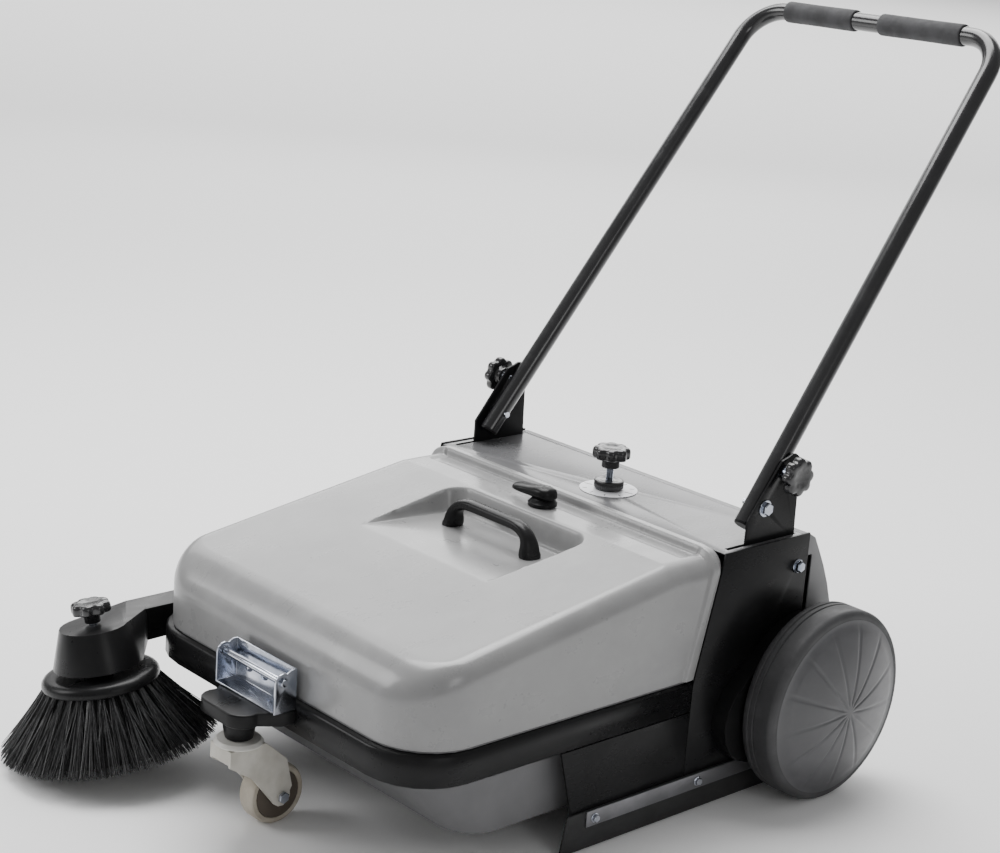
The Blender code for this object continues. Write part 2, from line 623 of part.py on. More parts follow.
def hood_row(inset, turn, low=None, rear_step=0.0):
    """Points round the hood from its rear left edge past its front to its rear right edge.

    turn runs from 0, where the wall ends, to 90 at the roof; low puts the whole row at one height.
    """
    (top_y, top_z), (knee_y, knee_z) = PLATE_FRONT
    lean = (top_y - knee_y) / (top_z - knee_z)
    draw = 1.0 - math.cos(math.radians(turn))
    fall = 1.0 - math.sin(math.radians(turn))
    half = HOPPER_X - inset - (SIDE_ROUND - inset) * draw
    front = HOPPER_FRONT + inset + (FRONT_ROUND - inset) * draw
    centre_x = HOPPER_X - CORNER_R + CORNER_SHIFT * draw
    centre_y = HOPPER_FRONT + CORNER_R - CORNER_SHIFT * draw
    side_z = HOPPER_FLAT - inset - (SIDE_ROUND - inset) * fall if low is None else low
    rear_y = knee_y + (side_z - knee_z) * lean - 0.0015 + rear_step
    left = [(half, rear_y, side_z), (half, CREASE_Y, side_z)]
    for k in range(CORNER_STEPS + 1):
        share = k / CORNER_STEPS
        angle = share * math.pi / 2
        x = centre_x + (half - centre_x) * math.cos(angle)
        y = centre_y - (centre_y - front) * math.sin(angle)
        rounding = SIDE_ROUND + (FRONT_ROUND - SIDE_ROUND) * share - inset
        left.append((x, y, roof(y, inset) - rounding * fall if low is None else low))
    return left + [(-x, y, z) for x, y, z in reversed(left)]


def hopper_solid(inset, low, rear_step=0.0):
    """Closed solid of the hopper's hood, drawn in by inset from its outer face."""
    bm = bmesh.new()
    rows = [hood_row(inset, 0, low, rear_step)]
    rows += [hood_row(inset, turn, None, rear_step) for turn in (0, 22.5, 45, 67.5, 90)]
    rows = [[bm.verts.new(point) for point in row] for row in rows]
    for row, after in zip(rows, rows[1:]):
        for k in range(len(row) - 1):
            bm.faces.new((row[k], row[k + 1], after[k + 1], after[k]))
    crown = rows[-1]
    bm.faces.new((crown[0], crown[1], crown[-2], crown[-1]))
    bm.faces.new(crown[1:-1])
    bm.faces.new(rows[0])
    bm.faces.new([row[0] for row in rows] + [row[-1] for row in reversed(rows)])
    return bm


def recess(grow):
    """Wedge-shaped pocket under the carry handle; grow makes its outer skin."""
    floor_half, mouth_half = 0.110 + grow, 0.126 + grow
    front, floor_rear, mouth_rear = -0.470 - grow, -0.264 + grow, -0.248 + grow
    front_z, rear_z, above = 0.3005 - grow, 0.291 - grow, 0.366 - grow
    low = [(-floor_half, front, front_z), (floor_half, front, front_z)]
    low += [(floor_half, floor_rear, rear_z), (-floor_half, floor_rear, rear_z)]
    high = [(-mouth_half, front, above), (mouth_half, front, above)]
    high += [(mouth_half, mouth_rear, above), (-mouth_half, mouth_rear, above)]
    bm = loft([low, high])
    upright = [e for e in bm.edges if abs(e.verts[0].co.z - e.verts[1].co.z) > 0.05]
    corners = [e for e in upright if all(v.co.y > -0.30 for v in e.verts)]
    bmesh.ops.bevel(bm, geom=corners, offset=0.015, segments=3, profile=0.5, affect="EDGES")
    return bm


def tub_solid(inset, low, high, rear):
    """Tapered solid of the hopper's tub, drawn in by inset from its outer face."""
    rings = []
    for half, front, radius, z in ((0.238, -0.522, 0.046, low), (0.244, -0.608, CORNER_R, high)):
        outline = rounded_front(half - inset, front + inset, rear, radius - inset, 6)
        rings.append([(x, y, z) for x, y in outline])
    return loft(rings)


def hopper(owner):
    made = place("hopper_hood", hopper_solid(0.0, HOPPER_LOW), owner, "grey_plastic", 25)
    lip = hopper_rim(0.0015, 0.0170)
    boolean(made, lip, owner, "UNION")
    hollow = boolean(made, hopper_solid(WALL, HOPPER_LOW - 0.02, 0.03), owner)
    boolean(hollow, recess(WALL), owner)
    boolean(made, recess(0.0), owner)
    hole = rod(0.0056, 0.29, 0.36)
    hole.transform(Matrix.Translation((0.0, LATCH_Y, 0.0)))
    boolean(made, hole, owner)
    tub_low, tub_high, tub_join = 0.045, HOPPER_LOW - 0.0025, HOPPER_LOW - GAP
    made = place("hopper_tub", tub_solid(0.0, tub_low, tub_join, -0.200), owner, "dark_plastic", 40)
    flange = rounded_front(HOPPER_X, HOPPER_FRONT, -0.200, CORNER_R)
    boolean(made, prism(flange, "Z", tub_high, tub_join), owner, "UNION")
    boolean(made, tub_solid(WALL, tub_low + WALL, tub_join + 0.006, -0.15), owner)

    feet_y, feet_z = -0.294, 0.2934
    rise = ((0.073, feet_z), (0.073, 0.297), (0.0705, 0.306), (0.0660, 0.3150), (0.0580, 0.3210))
    half_path = [(x, feet_y, z) for x, z in rise]
    path = half_path + [(x, feet_y, 0.3228) for x in (0.044, 0.0, -0.044)]
    path += [(-x, y, z) for x, y, z in reversed(half_path)]
    place("carry_handle", swept(path, 0.0070, 12, (0, 1, 0), 1.4), owner, "black_plastic")


def hopper_rim(proud, wide):
    """Raised lip that follows the slanted rear edge over the top and down both sides."""
    (top_y, top_z), (knee_y, knee_z) = PLATE_FRONT
    lean = (top_y - knee_y) / (top_z - knee_z)

    def rear_y(z):
        return knee_y + (z - knee_z) * lean - 0.0015

    half, top = HOPPER_X + proud, 0.335
    outline = [(rear_y(HOPPER_LOW), HOPPER_LOW), (rear_y(top), top)]
    outline += [(rear_y(top) - wide, top), (rear_y(HOPPER_LOW) - wide, HOPPER_LOW)]
    bm = prism(outline, "X", -half, half)
    upper = [e for e in bm.edges if all(v.co.z > 0.33 for v in e.verts)]
    ends = [e for e in upper if abs(e.verts[0].co.y - e.verts[1].co.y) > 0.004]
    bmesh.ops.bevel(bm, geom=ends, offset=0.026, segments=5, profile=0.5, affect="EDGES")
    return bm


def latch(owner):
    """Turning lever on the hopper, with the cam that grips under the cover's front edge."""
    base = turned([(0.0, 0.3263), (0.0185, 0.3263), (0.0185, 0.331), (0.0145, 0.3360), (0.0, 0.3360)], 24)
    wing = [(0.014, -0.009), *arc((0.006, 0.0), 0.0120, -30, 30, 2), (0.014, 0.009), (-0.020, 0.0115)]
    wing += arc((-0.036, 0.0), 0.013, 110, 250, 6) + [(-0.020, -0.0115)]
    wing = prism(wing, "Z", 0.3354, 0.3500)
    stem = rod(0.0050, 0.3150, 0.3400, 16)
    cam = box((-0.064, -0.008, 0.3145), (0.008, 0.008, 0.3195))
    solids = (base, wing, stem, cam)
    for bm in solids:
        bm.transform(Matrix.Translation((0.0, LATCH_Y, 0.0)))
    made = place("latch_lever", base, owner, "black_plastic")
    for bm in solids[1:]:
        boolean(made, bm, owner, "UNION")


def build():
    clear_scene()
    chassis = body("chassis")
    left = body("left_wheel", (0.0, 0.0, WHEEL_R))
    right = body("right_wheel", (0.0, 0.0, WHEEL_R))
    carrier = body("brush_carrier", (0.0, 0.0, WHEEL_R))
    brush = body("main_brush", (0.0, BRUSH_Y, BRUSH_Z))
    arm = body("side_arm", (-0.290, ARM_ROOT[0], ARM_ROOT[1] - 0.008))
    side = body("side_brush", SIDE_BRUSH, side_brush_turn())
    side_knob = body("side_knob", SIDE_BRUSH, side_brush_turn())
    fork = body("caster_fork", (0.0, SWIVEL_Y, CASTER_R))
    wheel = body("caster_wheel", (0.0, CASTER_Y, CASTER_R))
    grip = body("handle", (0.0, *PIVOT))
    knobs = [body(f"clamp_{word}", (0.0, *CLAMP)) for _, word in SIDES]
    height = body("height_knob", (SCREW_X, SCREW_Y, TOP_Z))
    nut = body("lock_nut", (SCREW_X, SCREW_Y, TOP_Z))
    bin_body = body("hopper")
    lever = body("latch", (0.0, LATCH_Y, HOPPER_FLAT))
    for make in (side_plates, top_cover, rear_hood, frame_band, skirts, handle_brackets):
        make(chassis)
    for make in (axles_and_covers, scale_label, front_parts, arm_bracket):
        make(chassis)
    wheels(left, right)
    main_drive(left, brush)
    brush_carrier(carrier)
    main_brush(brush)
    side_brush(arm, side, side_knob)
    caster(fork, wheel)
    handle(grip, knobs)
    height_adjuster(height, nut)
    hopper(bin_body)
    latch(lever)


build()
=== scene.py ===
import json
import math
import random

import bmesh
import bpy
from mathutils import Matrix, Vector


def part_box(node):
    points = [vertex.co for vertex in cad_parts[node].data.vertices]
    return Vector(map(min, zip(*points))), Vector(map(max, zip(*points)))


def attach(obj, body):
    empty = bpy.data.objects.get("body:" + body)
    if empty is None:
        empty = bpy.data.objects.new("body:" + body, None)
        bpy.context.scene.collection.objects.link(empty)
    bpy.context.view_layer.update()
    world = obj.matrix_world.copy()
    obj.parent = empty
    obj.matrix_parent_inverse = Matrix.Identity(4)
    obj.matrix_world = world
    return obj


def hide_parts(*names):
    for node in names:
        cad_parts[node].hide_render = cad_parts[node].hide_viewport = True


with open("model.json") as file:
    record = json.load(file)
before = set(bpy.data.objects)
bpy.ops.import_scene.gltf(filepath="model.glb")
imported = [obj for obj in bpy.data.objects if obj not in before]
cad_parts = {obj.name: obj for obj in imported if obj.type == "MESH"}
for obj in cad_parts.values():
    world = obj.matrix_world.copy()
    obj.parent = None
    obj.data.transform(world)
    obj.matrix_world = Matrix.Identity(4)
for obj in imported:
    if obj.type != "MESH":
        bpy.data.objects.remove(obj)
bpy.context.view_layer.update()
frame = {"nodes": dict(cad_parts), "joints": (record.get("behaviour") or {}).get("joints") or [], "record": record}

# Room and camera. A pale floor with soft window-like lamps overhead, and a long lens that looks
# down on the machine's front left corner.
camera_place = Vector((1.7782, -1.7305, 1.1192))
camera_turn, camera_tilt, camera_roll = (math.radians(a) for a in (46.84, 15.58, 4.33))
focal_length = 73.5
floor_colour = (0.93, 0.93, 0.93)
sky_colour = (1.0, 1.0, 1.0)
sky_strength = 0.36

look_back = Vector((
    math.sin(camera_turn) * math.cos(camera_tilt),
    -math.cos(camera_turn) * math.cos(camera_tilt),
    math.sin(camera_tilt),
))
level_right = Vector((math.cos(camera_turn), math.sin(camera_turn), 0.0))
level_up = look_back.cross(level_right)
rolled_right = level_right * math.cos(camera_roll) + level_up * math.sin(camera_roll)
rolled_up = level_up * math.cos(camera_roll) - level_right * math.sin(camera_roll)


def placed(name, data):
    """A new object of some data, in the scene."""
    made = bpy.data.objects.new(name, data)
    bpy.context.scene.collection.objects.link(made)
    return made


camera = placed("camera", bpy.data.cameras.new("camera"))
camera.matrix_world = Matrix((rolled_right, rolled_up, look_back)).transposed().to_4x4()
camera.location = camera_place
camera.data.lens = focal_length
bpy.context.scene.camera = camera

world = bpy.data.worlds.new("studio")
world.use_nodes = True
world.node_tree.nodes["Background"].inputs["Color"].default_value = (*sky_colour, 1.0)
world.node_tree.nodes["Background"].inputs["Strength"].default_value = sky_strength
bpy.context.scene.world = world

lamps = {  # name: (place, aim, width, height, watts)
    "overhead": ((-0.9, 0.5, 3.0), (-0.1, 0.0, 0.2), 2.4, 1.8, 125.0),
    "front_left": ((-2.1, -2.5, 1.9), (0.0, -0.2, 0.2), 1.5, 1.5, 44.0),
    "near_side": ((3.0, -0.6, 1.5), (0.0, -0.1, 0.2), 1.0, 1.2, 9.0),
    "behind": ((-3.6, 3.4, 2.2), (0.0, 0.0, 0.3), 4.2, 1.9, 42.0),
    "far_floor": ((-9.0, 8.4, 5.0), (-9.0, 8.4, 0.0), 16.0, 16.0, 1700.0),
}
for lamp_name, (place, aim, width, height, watts) in lamps.items():
    light = bpy.data.lights.new(lamp_name, "AREA")
    light.shape = "RECTANGLE"
    light.size, light.size_y = width, height
    light.energy = watts
    lamp = placed(lamp_name, light)
    lamp.location = place
    lamp.rotation_euler = (Vector(place) - Vector(aim)).to_track_quat("Z", "Y").to_euler()

floor_mesh = bpy.data.meshes.new("floor")
floor_mesh.from_pydata([(-30, -30, 0), (30, -30, 0), (30, 30, 0), (-30, 30, 0)], [], [(0, 1, 2, 3)])
floor = placed("floor", floor_mesh)
floor_paint = bpy.data.materials.new("floor")
floor_paint.use_nodes = True
floor_shader = floor_paint.node_tree.nodes["Principled BSDF"]
floor_shader.inputs["Base Color"].default_value = (*floor_colour, 1.0)
floor_shader.inputs["Roughness"].default_value = 0.9
floor_mesh.materials.append(floor_paint)


# Black steel: cheeks, skirt panels, brackets and rockers, laser cut from 3 mm sheet and powder
# coated. Each is its cut blank with a slightly rounded edge, and the coat has a fine orange peel.
black_steel = (0.0065, 0.0065, 0.0070)
sheet_edge = 0.0006


class Wire:
    """A shader socket that takes part in arithmetic."""

    def __init__(self, tree, socket):
        self.tree, self.socket = tree, socket

    def node(self, kind, settings=None, sockets=None, out=0):
        """Adds a node: its settings first, then the values or links of its sockets."""
        made = self.tree.nodes.new(kind)
        for name, value in (settings or {}).items():
            if name != "stops":
                setattr(made, name, value)
                continue
            for k, (position, shade) in enumerate(value):
                stops = made.color_ramp.elements
                stop = stops[k] if k < 2 else stops.new(position)
                stop.position, stop.color = position, (shade, shade, shade, 1.0)
        for key, value in (sockets or {}).items():
            if isinstance(value, Wire):
                self.tree.links.new(value.socket, made.inputs[key])
            else:
                made.inputs[key].default_value = value
        return Wire(self.tree, made.outputs[out])

    def math(self, operation, *others):
        return self.node("ShaderNodeMath", {"operation": operation}, dict(enumerate((self, *others))))

    def __add__(self, other):
        return self.math("ADD", other)

    def __mul__(self, other):
        return self.math("MULTIPLY", other)

    def __sub__(self, other):
        return self.math("SUBTRACT", other)

    def __rsub__(self, other):
        return self.node("ShaderNodeMath", {"operation": "SUBTRACT"}, {0: other, 1: self})

    __radd__ = __add__
    __rmul__ = __mul__

    def noise(self, scale, detail=3.0, rough=0.55, stretch=(1.0, 1.0, 1.0)):
        """Cloudy noise from 0 to 1 over this vector, scaled per metre."""
        spread = self.node("ShaderNodeMapping", {}, {"Vector": self, "Scale": stretch})
        sockets = {"Vector": spread, "Scale": scale, "Detail": detail, "Roughness": rough}
        return self.node("ShaderNodeTexNoise", {}, sockets)

    def between(self, low, high):
        """0 below low, 1 above high, and a soft step between."""
        sockets = {"Value": self, "From Min": low, "From Max": high}
        return self.node("ShaderNodeMapRange", {"interpolation_type": "SMOOTHSTEP"}, sockets)

    def bump(self, strength, depth, **under):
        """A relief of this height, over the normal it is given, if any."""
        sockets = {"Height": self, "Strength": strength, "Distance": depth, **under}
        return self.node("ShaderNodeBump", {}, sockets)

    def tint(self, first, second):
        """Mixes two colours (or wires of colours) by this wire."""
        first = first if isinstance(first, Wire) else (*first, 1.0)
        second = second if isinstance(second, Wire) else (*second, 1.0)
        return self.node("ShaderNodeMix", {"data_type": "RGBA"}, {0: self, 6: first, 7: second}, 2)


def new_finish(name, fixed):
    """A material, its shader with fixed values set, and a wire of its object coordinates."""
    made = bpy.data.materials.new(name)
    made.use_nodes = True
    shader = made.node_tree.nodes["Principled BSDF"]
    for key, value in fixed.items():
        shader.inputs[key].default_value = value
    spot = made.node_tree.nodes.new("ShaderNodeTexCoord")
    return made, shader, Wire(made.node_tree, spot.outputs["Object"])


def feed(shader, wires):
    for key, wire in wires.items():
        wire.tree.links.new(wire.socket, shader.inputs[key])


def moulded(name, dark, light, gloss, grain, depth, patch=9.0, fixed=None, dust=0.0, dust_tone=0.18):
    """Mottled colour, uneven gloss, a fine grain in relief, and dust that settles in patches."""
    made, shader, spot = new_finish(name, fixed or {})
    clouds = spot.noise(patch, 4.0)
    specks = spot.noise(grain, 2.0)
    smears = spot.noise(patch * 3.1, 5.0, 0.7, (1.0, 0.35, 1.0))
    colour = clouds.between(0.32, 0.68).tint(dark, light)
    if dust:
        settled = smears.between(0.52, 0.80) * dust
        colour = settled.tint(colour, (dust_tone, dust_tone, dust_tone))
    low, high = gloss
    rough = smears.between(0.25, 0.75) * (high - low) + low
    relief = specks.bump(0.35, depth)
    feed(shader, {"Base Color": colour, "Roughness": rough, "Normal": relief})
    return made


black_coat = moulded(
    "black_coat", [0.75 * c for c in black_steel], [1.5 * c for c in black_steel], (0.24, 0.36), 900.0,
    0.00004, fixed={"Specular IOR Level": 0.16}, dust=0.02,
)
body_of = {node: body for body, nodes in frame["record"]["behaviour"]["bodies"].items() for node in nodes}


def shade(mesh, angle=35):
    mesh.shade_smooth()
    mesh.set_sharp_from_angle(angle=math.radians(angle))


def meshed(name, bm):
    """A mesh of a bmesh, with its faces out. The bmesh is used up."""
    bm.normal_update()
    bmesh.ops.recalc_face_normals(bm, faces=bm.faces)
    mesh = bpy.data.meshes.new(name)
    bm.to_mesh(mesh)
    bm.free()
    return mesh


def keep(name, mesh, body, stands_for):
    """Puts a finished mesh in the scene as a piece of a body, with the CAD pieces it stands for."""
    made = placed(name, mesh)
    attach(made, body)
    if stands_for:
        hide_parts(*stands_for)


def fit(name, bm, finish, body, stands_for=(), angle=35):
    """Makes a finished piece of a bmesh: its faces out, its finish, and its place in the frame."""
    mesh = meshed(name, bm)
    mesh.materials.append(finish)
    shade(mesh, angle)
    keep(name, mesh, body, stands_for)


def eased(node, width, segments=2, least=28):
    """A bmesh of a CAD piece with its flat faces made whole and its edges rounded."""
    bm = bmesh.new()
    bm.from_mesh(frame["nodes"][node].data)
    bmesh.ops.remove_doubles(bm, verts=bm.verts, dist=2e-6)
    bmesh.ops.dissolve_limit(bm, angle_limit=math.radians(0.6), verts=bm.verts, edges=bm.edges)
    sharp = [e for e in bm.edges if len(e.link_faces) == 2 and e.calc_face_angle() > math.radians(least)]
    bmesh.ops.bevel(
        bm, geom=sharp, offset=width, segments=segments, profile=0.55, affect="EDGES", clamp_overlap=True
    )
    return bm


def fit_cad(name, node, finish, width, segments=2, least=28, angle=35):
    """A CAD piece with its edges rounded, on its own body and with its own slot."""
    fit(name, eased(node, width, segments, least), finish, body_of[node], (node,), angle)


for name in ("side_plate", "skirt_panel", "handle_bracket", "brush_rocker"):
    for hand in ("left", "right"):
        node = f"{name}_{hand}"
        fit_cad(f"{node}_sheet", node, black_coat, sheet_edge)
for node in ("lift_bar", "side_arm_bracket"):
    fit_cad(f"{node}_steel", node, black_coat, sheet_edge)


# Band: a black moulded bumper round the hopper, pressed over the frame's edge. Its top edge is
# well rounded and catches the light, and its face is lightly scuffed.
band_edge = 0.0042

black_moulding = moulded(
    "black_moulding", (0.007, 0.007, 0.0075), (0.012, 0.012, 0.0125), (0.24, 0.38), 1500.0, 0.00004,
    dust=0.02, fixed={"Specular IOR Level": 0.18},
)
fit_cad("frame_bumper", "frame_band", black_moulding, band_edge, 4, 60, angle=50)
for hand in ("left", "right"):
    node = f"drive_cover_{hand}"
    fit_cad(f"{node}_shell", node, black_moulding, 0.0030, 4, 50, angle=50)


# Top cover: folded steel in smooth semi-gloss grey paint, with a printed ring of marks round the
# height adjuster. The rear hood is the same grey, moulded, and a rubber flap hangs inside it.
cover_grey = (0.125, 0.125, 0.129)
ring_low, ring_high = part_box("scale_label")
ring_middle = (ring_low + ring_high) / 2
ring_outer = (ring_high.x - ring_low.x) / 2
mark_count = 10
mark_width = 0.0011

grey_paint = moulded(
    "grey_paint", [0.86 * c for c in cover_grey], [1.12 * c for c in cover_grey], (0.22, 0.30), 600.0,
    0.00001, patch=5.0, fixed={"Coat Weight": 0.10, "Coat Roughness": 0.12}, dust=0.006, dust_tone=0.3,
)
hood_grey = moulded(
    "hood_grey", (0.20, 0.20, 0.205), (0.26, 0.26, 0.265), (0.30, 0.45), 700.0, 0.00010, patch=6.0, dust=0.06,
    dust_tone=0.4,
)
fit_cad("top_cover_sheet", "top_cover", grey_paint, 0.0005)
fit_cad("rear_hood_shell", "rear_hood", hood_grey, 0.0010, 2, 40, angle=50)

label_film = moulded("label_film", (0.74, 0.74, 0.77), (0.84, 0.84, 0.86), (0.30, 0.40), 500.0, 0.00002)
ink = moulded("ink", (0.03, 0.03, 0.035), (0.05, 0.05, 0.055), (0.35, 0.45), 500.0, 0.00002)
fit_cad("scale_ring_film", "scale_label", label_film, 0.0001, 1, 60)
marks = bmesh.new()
for k in range(mark_count):
    angle = math.tau * (k + 0.5) / mark_count
    reach = ring_outer * (0.90 if k % 5 else 0.93)
    start = ring_outer * (0.74 if k % 5 else 0.62)
    turn = Matrix.Translation((ring_middle.x, ring_middle.y, ring_high.z)) @ Matrix.Rotation(angle, 4, "Z")
    size = Matrix.Diagonal((reach - start, mark_width, 0.0002, 1.0))
    place = turn @ Matrix.Translation(((reach + start) / 2, 0.0, 0.00012)) @ size
    bmesh.ops.create_cube(marks, size=1.0, matrix=place)
fit("scale_ring_marks", marks, ink, "chassis")


# Skirts: rubber strips that seal the brush chamber to the floor, clamped by zinc plated flat bars
# and small bolts. The rubber is matt and dusty, and its lower edge is scuffed pale.
rubber = moulded(
    "rubber", (0.014, 0.014, 0.014), (0.026, 0.026, 0.027), (0.62, 0.85), 1100.0, 0.00020, dust=0.16,
    dust_tone=0.09,
)
for node in ("side_rubber_left", "side_rubber_right", "rear_flap"):
    fit_cad(f"{node}_strip", node, rubber, 0.0007)

dull_zinc = moulded(
    "dull_zinc", (0.19, 0.19, 0.20), (0.27, 0.27, 0.285), (0.34, 0.50), 700.0, 0.00003, patch=16.0,
    fixed={"Metallic": 0.8}, dust=0.15, dust_tone=0.14,
)
zinc, zinc_shader, zinc_spot = new_finish("zinc", {"Metallic": 1.0})
zinc_flakes = zinc_spot.noise(260.0, 2.0, 0.5)
zinc_cloud = zinc_spot.noise(22.0, 4.0)
zinc_streaks = zinc_spot.noise(90.0, 3.0, 0.6, (1.0, 1.0, 0.15))
feed(zinc_shader, {
    "Base Color": zinc_cloud.between(0.3, 0.7).tint((0.26, 0.29, 0.35), (0.60, 0.62, 0.68)),
    "Roughness": zinc_flakes * 0.06 + zinc_streaks * 0.10 + 0.09,
    "Normal": zinc_flakes.bump(0.3, 0.0001),
})
for hand in ("left", "right"):
    node = f"skirt_strip_{hand}"
    fit_cad(f"{node}_bar", node, dull_zinc, 0.0004)
    node = f"axle_{hand}"
    fit_cad(f"{node}_pin", node, zinc, 0.0005, 1, 60)


# Bolts and rivets: zinc plated. Each kind is one small turned or six-sided head, set out at its
# places by a node tree that stands a copy on every point, along that point's direction.
def turned(profile, steps):
    """A profile of (radius, height) turned about Z into a closed solid or ring."""
    bm = bmesh.new()
    verts = [bm.verts.new((radius, 0.0, height)) for radius, height in profile]
    edges = [bm.edges.new(pair) for pair in zip(verts, verts[1:])]
    if profile[0][0] > 0 and profile[-1][0] > 0:
        edges.append(bm.edges.new((verts[-1], verts[0])))
    bmesh.ops.spin(
        bm, geom=verts + edges, axis=(0, 0, 1), cent=(0, 0, 0), angle=math.tau, steps=steps, use_merge=True
    )
    bmesh.ops.remove_doubles(bm, verts=bm.verts, dist=1e-6)
    return bm


def flat_ended(profile, steps):
    """A profile turned into a solid with a flat disc at each end."""
    return turned([(0.0, profile[0][1]), *profile, (0.0, profile[-1][1])], steps)


def joined(solids):
    """One bmesh of several."""
    whole = bmesh.new()
    for bm in solids:
        mesh = meshed("part", bm)
        whole.from_mesh(mesh)
        bpy.data.meshes.remove(mesh)
    return whole


def placement_tree():
    """Node tree: a copy of Pattern on every point, along its aim, sized by its size, swayed at random."""
    tree = bpy.data.node_groups.new("stand_on_points", "GeometryNodeTree")
    sockets = (
        ("Geometry", "NodeSocketGeometry"), ("Pattern", "NodeSocketObject"), ("Sway", "NodeSocketFloat"),
        ("Seed", "NodeSocketInt"), ("Finish", "NodeSocketMaterial"),
    )
    for label, kind in sockets:
        tree.interface.new_socket(name=label, in_out="INPUT", socket_type=kind)
    tree.interface.new_socket(name="Geometry", in_out="OUTPUT", socket_type="NodeSocketGeometry")

    def add(kind, settings=None, links=None, out=0):
        made = tree.nodes.new(kind)
        for key, value in (settings or {}).items():
            setattr(made, key, value)
        for key, value in (links or {}).items():
            if isinstance(value, bpy.types.NodeSocket):
                tree.links.new(value, made.inputs[key])
            else:
                made.inputs[key].default_value = value
        return made.outputs[out] if made.outputs else None

    given = tree.nodes.new("NodeGroupInput").outputs
    pattern = add("GeometryNodeObjectInfo", links={"Object": given["Pattern"]}, out="Geometry")
    aim = add("GeometryNodeInputNamedAttribute", {"data_type": "FLOAT_VECTOR"}, {"Name": "aim"})
    size = add("GeometryNodeInputNamedAttribute", {"data_type": "FLOAT_VECTOR"}, {"Name": "size"})
    facing = add("FunctionNodeAlignRotationToVector", {"axis": "Z"}, {"Vector": aim})
    stood = add("GeometryNodeInstanceOnPoints", links={
        "Points": given["Geometry"], "Instance": pattern, "Rotation": facing, "Scale": size,
    })
    low = add("ShaderNodeMath", {"operation": "MULTIPLY"}, {0: given["Sway"], 1: -1.0})
    lowest = add("ShaderNodeCombineXYZ", links={"X": low, "Y": low, "Z": -3.14})
    highest = add("ShaderNodeCombineXYZ", links={"X": given["Sway"], "Y": given["Sway"], "Z": 3.14})
    chance = add("FunctionNodeRandomValue", {"data_type": "FLOAT_VECTOR"}, {
        0: lowest, 1: highest, "Seed": given["Seed"],
    })
    swayed = add("GeometryNodeRotateInstances", links={"Instances": stood, "Rotation": chance})
    solid = add("GeometryNodeRealizeInstances", links={"Geometry": swayed})
    painted = add("GeometryNodeSetMaterial", links={"Geometry": solid, "Material": given["Finish"]})
    add("NodeGroupOutput", links={"Geometry": painted})
    return tree


stand_on_points = placement_tree()


def stand(name, spots, pattern, finish, body, sway=0.0, seed=1, stands_for=(), angle=35):
    """Copies of a small bmesh at spots of (place, direction, size), joined as one piece."""
    mesh = bpy.data.meshes.new(name + "_points")
    mesh.from_pydata([spot[0] for spot in spots], [], [])
    for label, column in (("aim", 1), ("size", 2)):
        values = mesh.attributes.new(label, "FLOAT_VECTOR", "POINT")
        values.data.foreach_set("vector", [c for spot in spots for c in spot[column]])
    points = placed(name + "_points", mesh)
    pattern_object = placed(name + "_pattern", meshed(name + "_pattern", pattern))
    modifier = points.modifiers.new("stand", "NODES")
    modifier.node_group = stand_on_points
    inputs = {s.name: s.identifier for s in stand_on_points.interface.items_tree if s.in_out == "INPUT"}
    given = {"Pattern": pattern_object, "Sway": sway, "Seed": seed, "Finish": finish}
    for label, value in given.items():
        modifier[inputs[label]] = value
    bpy.context.view_layer.update()
    result = bpy.data.meshes.new_from_object(points.evaluated_get(bpy.context.evaluated_depsgraph_get()))
    result.name = name
    for old in (points, pattern_object):
        bpy.data.objects.remove(old)
    if not result.materials:
        result.materials.append(finish)
    shade(result, angle)
    keep(name, result, body, stands_for)


def hex_head(across, height, washer=True):
    """Six-sided bolt head on its washer, along Z from the surface."""
    lift = 0.0009 if washer else 0.0
    corner = across / math.sqrt(3)
    head = [(corner, lift), (corner, lift + 0.8 * height), (0.86 * corner, lift + height)]
    solids = [flat_ended(head, 6)]
    if washer:
        rim = corner * 1.25
        solids.append(flat_ended([(rim, 0.0), (rim, lift * 0.7), (rim - 0.0004, lift)], 24))
    return joined(solids)


left_face, right_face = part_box("side_plate_left")[1].x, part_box("side_plate_right")[0].x
wheel_axis = (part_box("tyre_left")[0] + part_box("tyre_left")[1]) / 2
strip_low, strip_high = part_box("skirt_strip_left")
cheek_bolt_forward, cheek_bolt_z, cheek_bolt_size = 0.014, 0.2915, 1.5
strip_stands_off, strip_bolts_at = 0.0056, (0.013, 0.191)
bolt_spots = []
for face, outward in ((left_face, 1), (right_face, -1)):
    spot = (face, wheel_axis.y - cheek_bolt_forward, cheek_bolt_z)
    bolt_spots.append((spot, (outward, 0, 0), (cheek_bolt_size,) * 3))
    strip_face = face + outward * strip_stands_off
    for offset in strip_bolts_at:
        spot = (strip_face, strip_low.y + offset, (strip_low.z + strip_high.z) / 2)
        bolt_spots.append((spot, (outward, 0, 0), (1.0, 1.0, 1.0)))
stand("frame_bolts", bolt_spots, hex_head(0.0085, 0.0042), zinc, "chassis")


# Main brush: rows of black bristle tufts set into a moulded core in shallow chevrons, on a steel
# shaft that runs in the rockers. The gear and pinion that turn it are black nylon.
brush_low, brush_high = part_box("main_brush_bristles")
brush_middle = (brush_low + brush_high) / 2
brush_reach = (brush_high.z - brush_low.z) / 2
core_reach = 0.0304
brush_rows = 10
tufts_per_row = 38
strands_per_tuft = 7

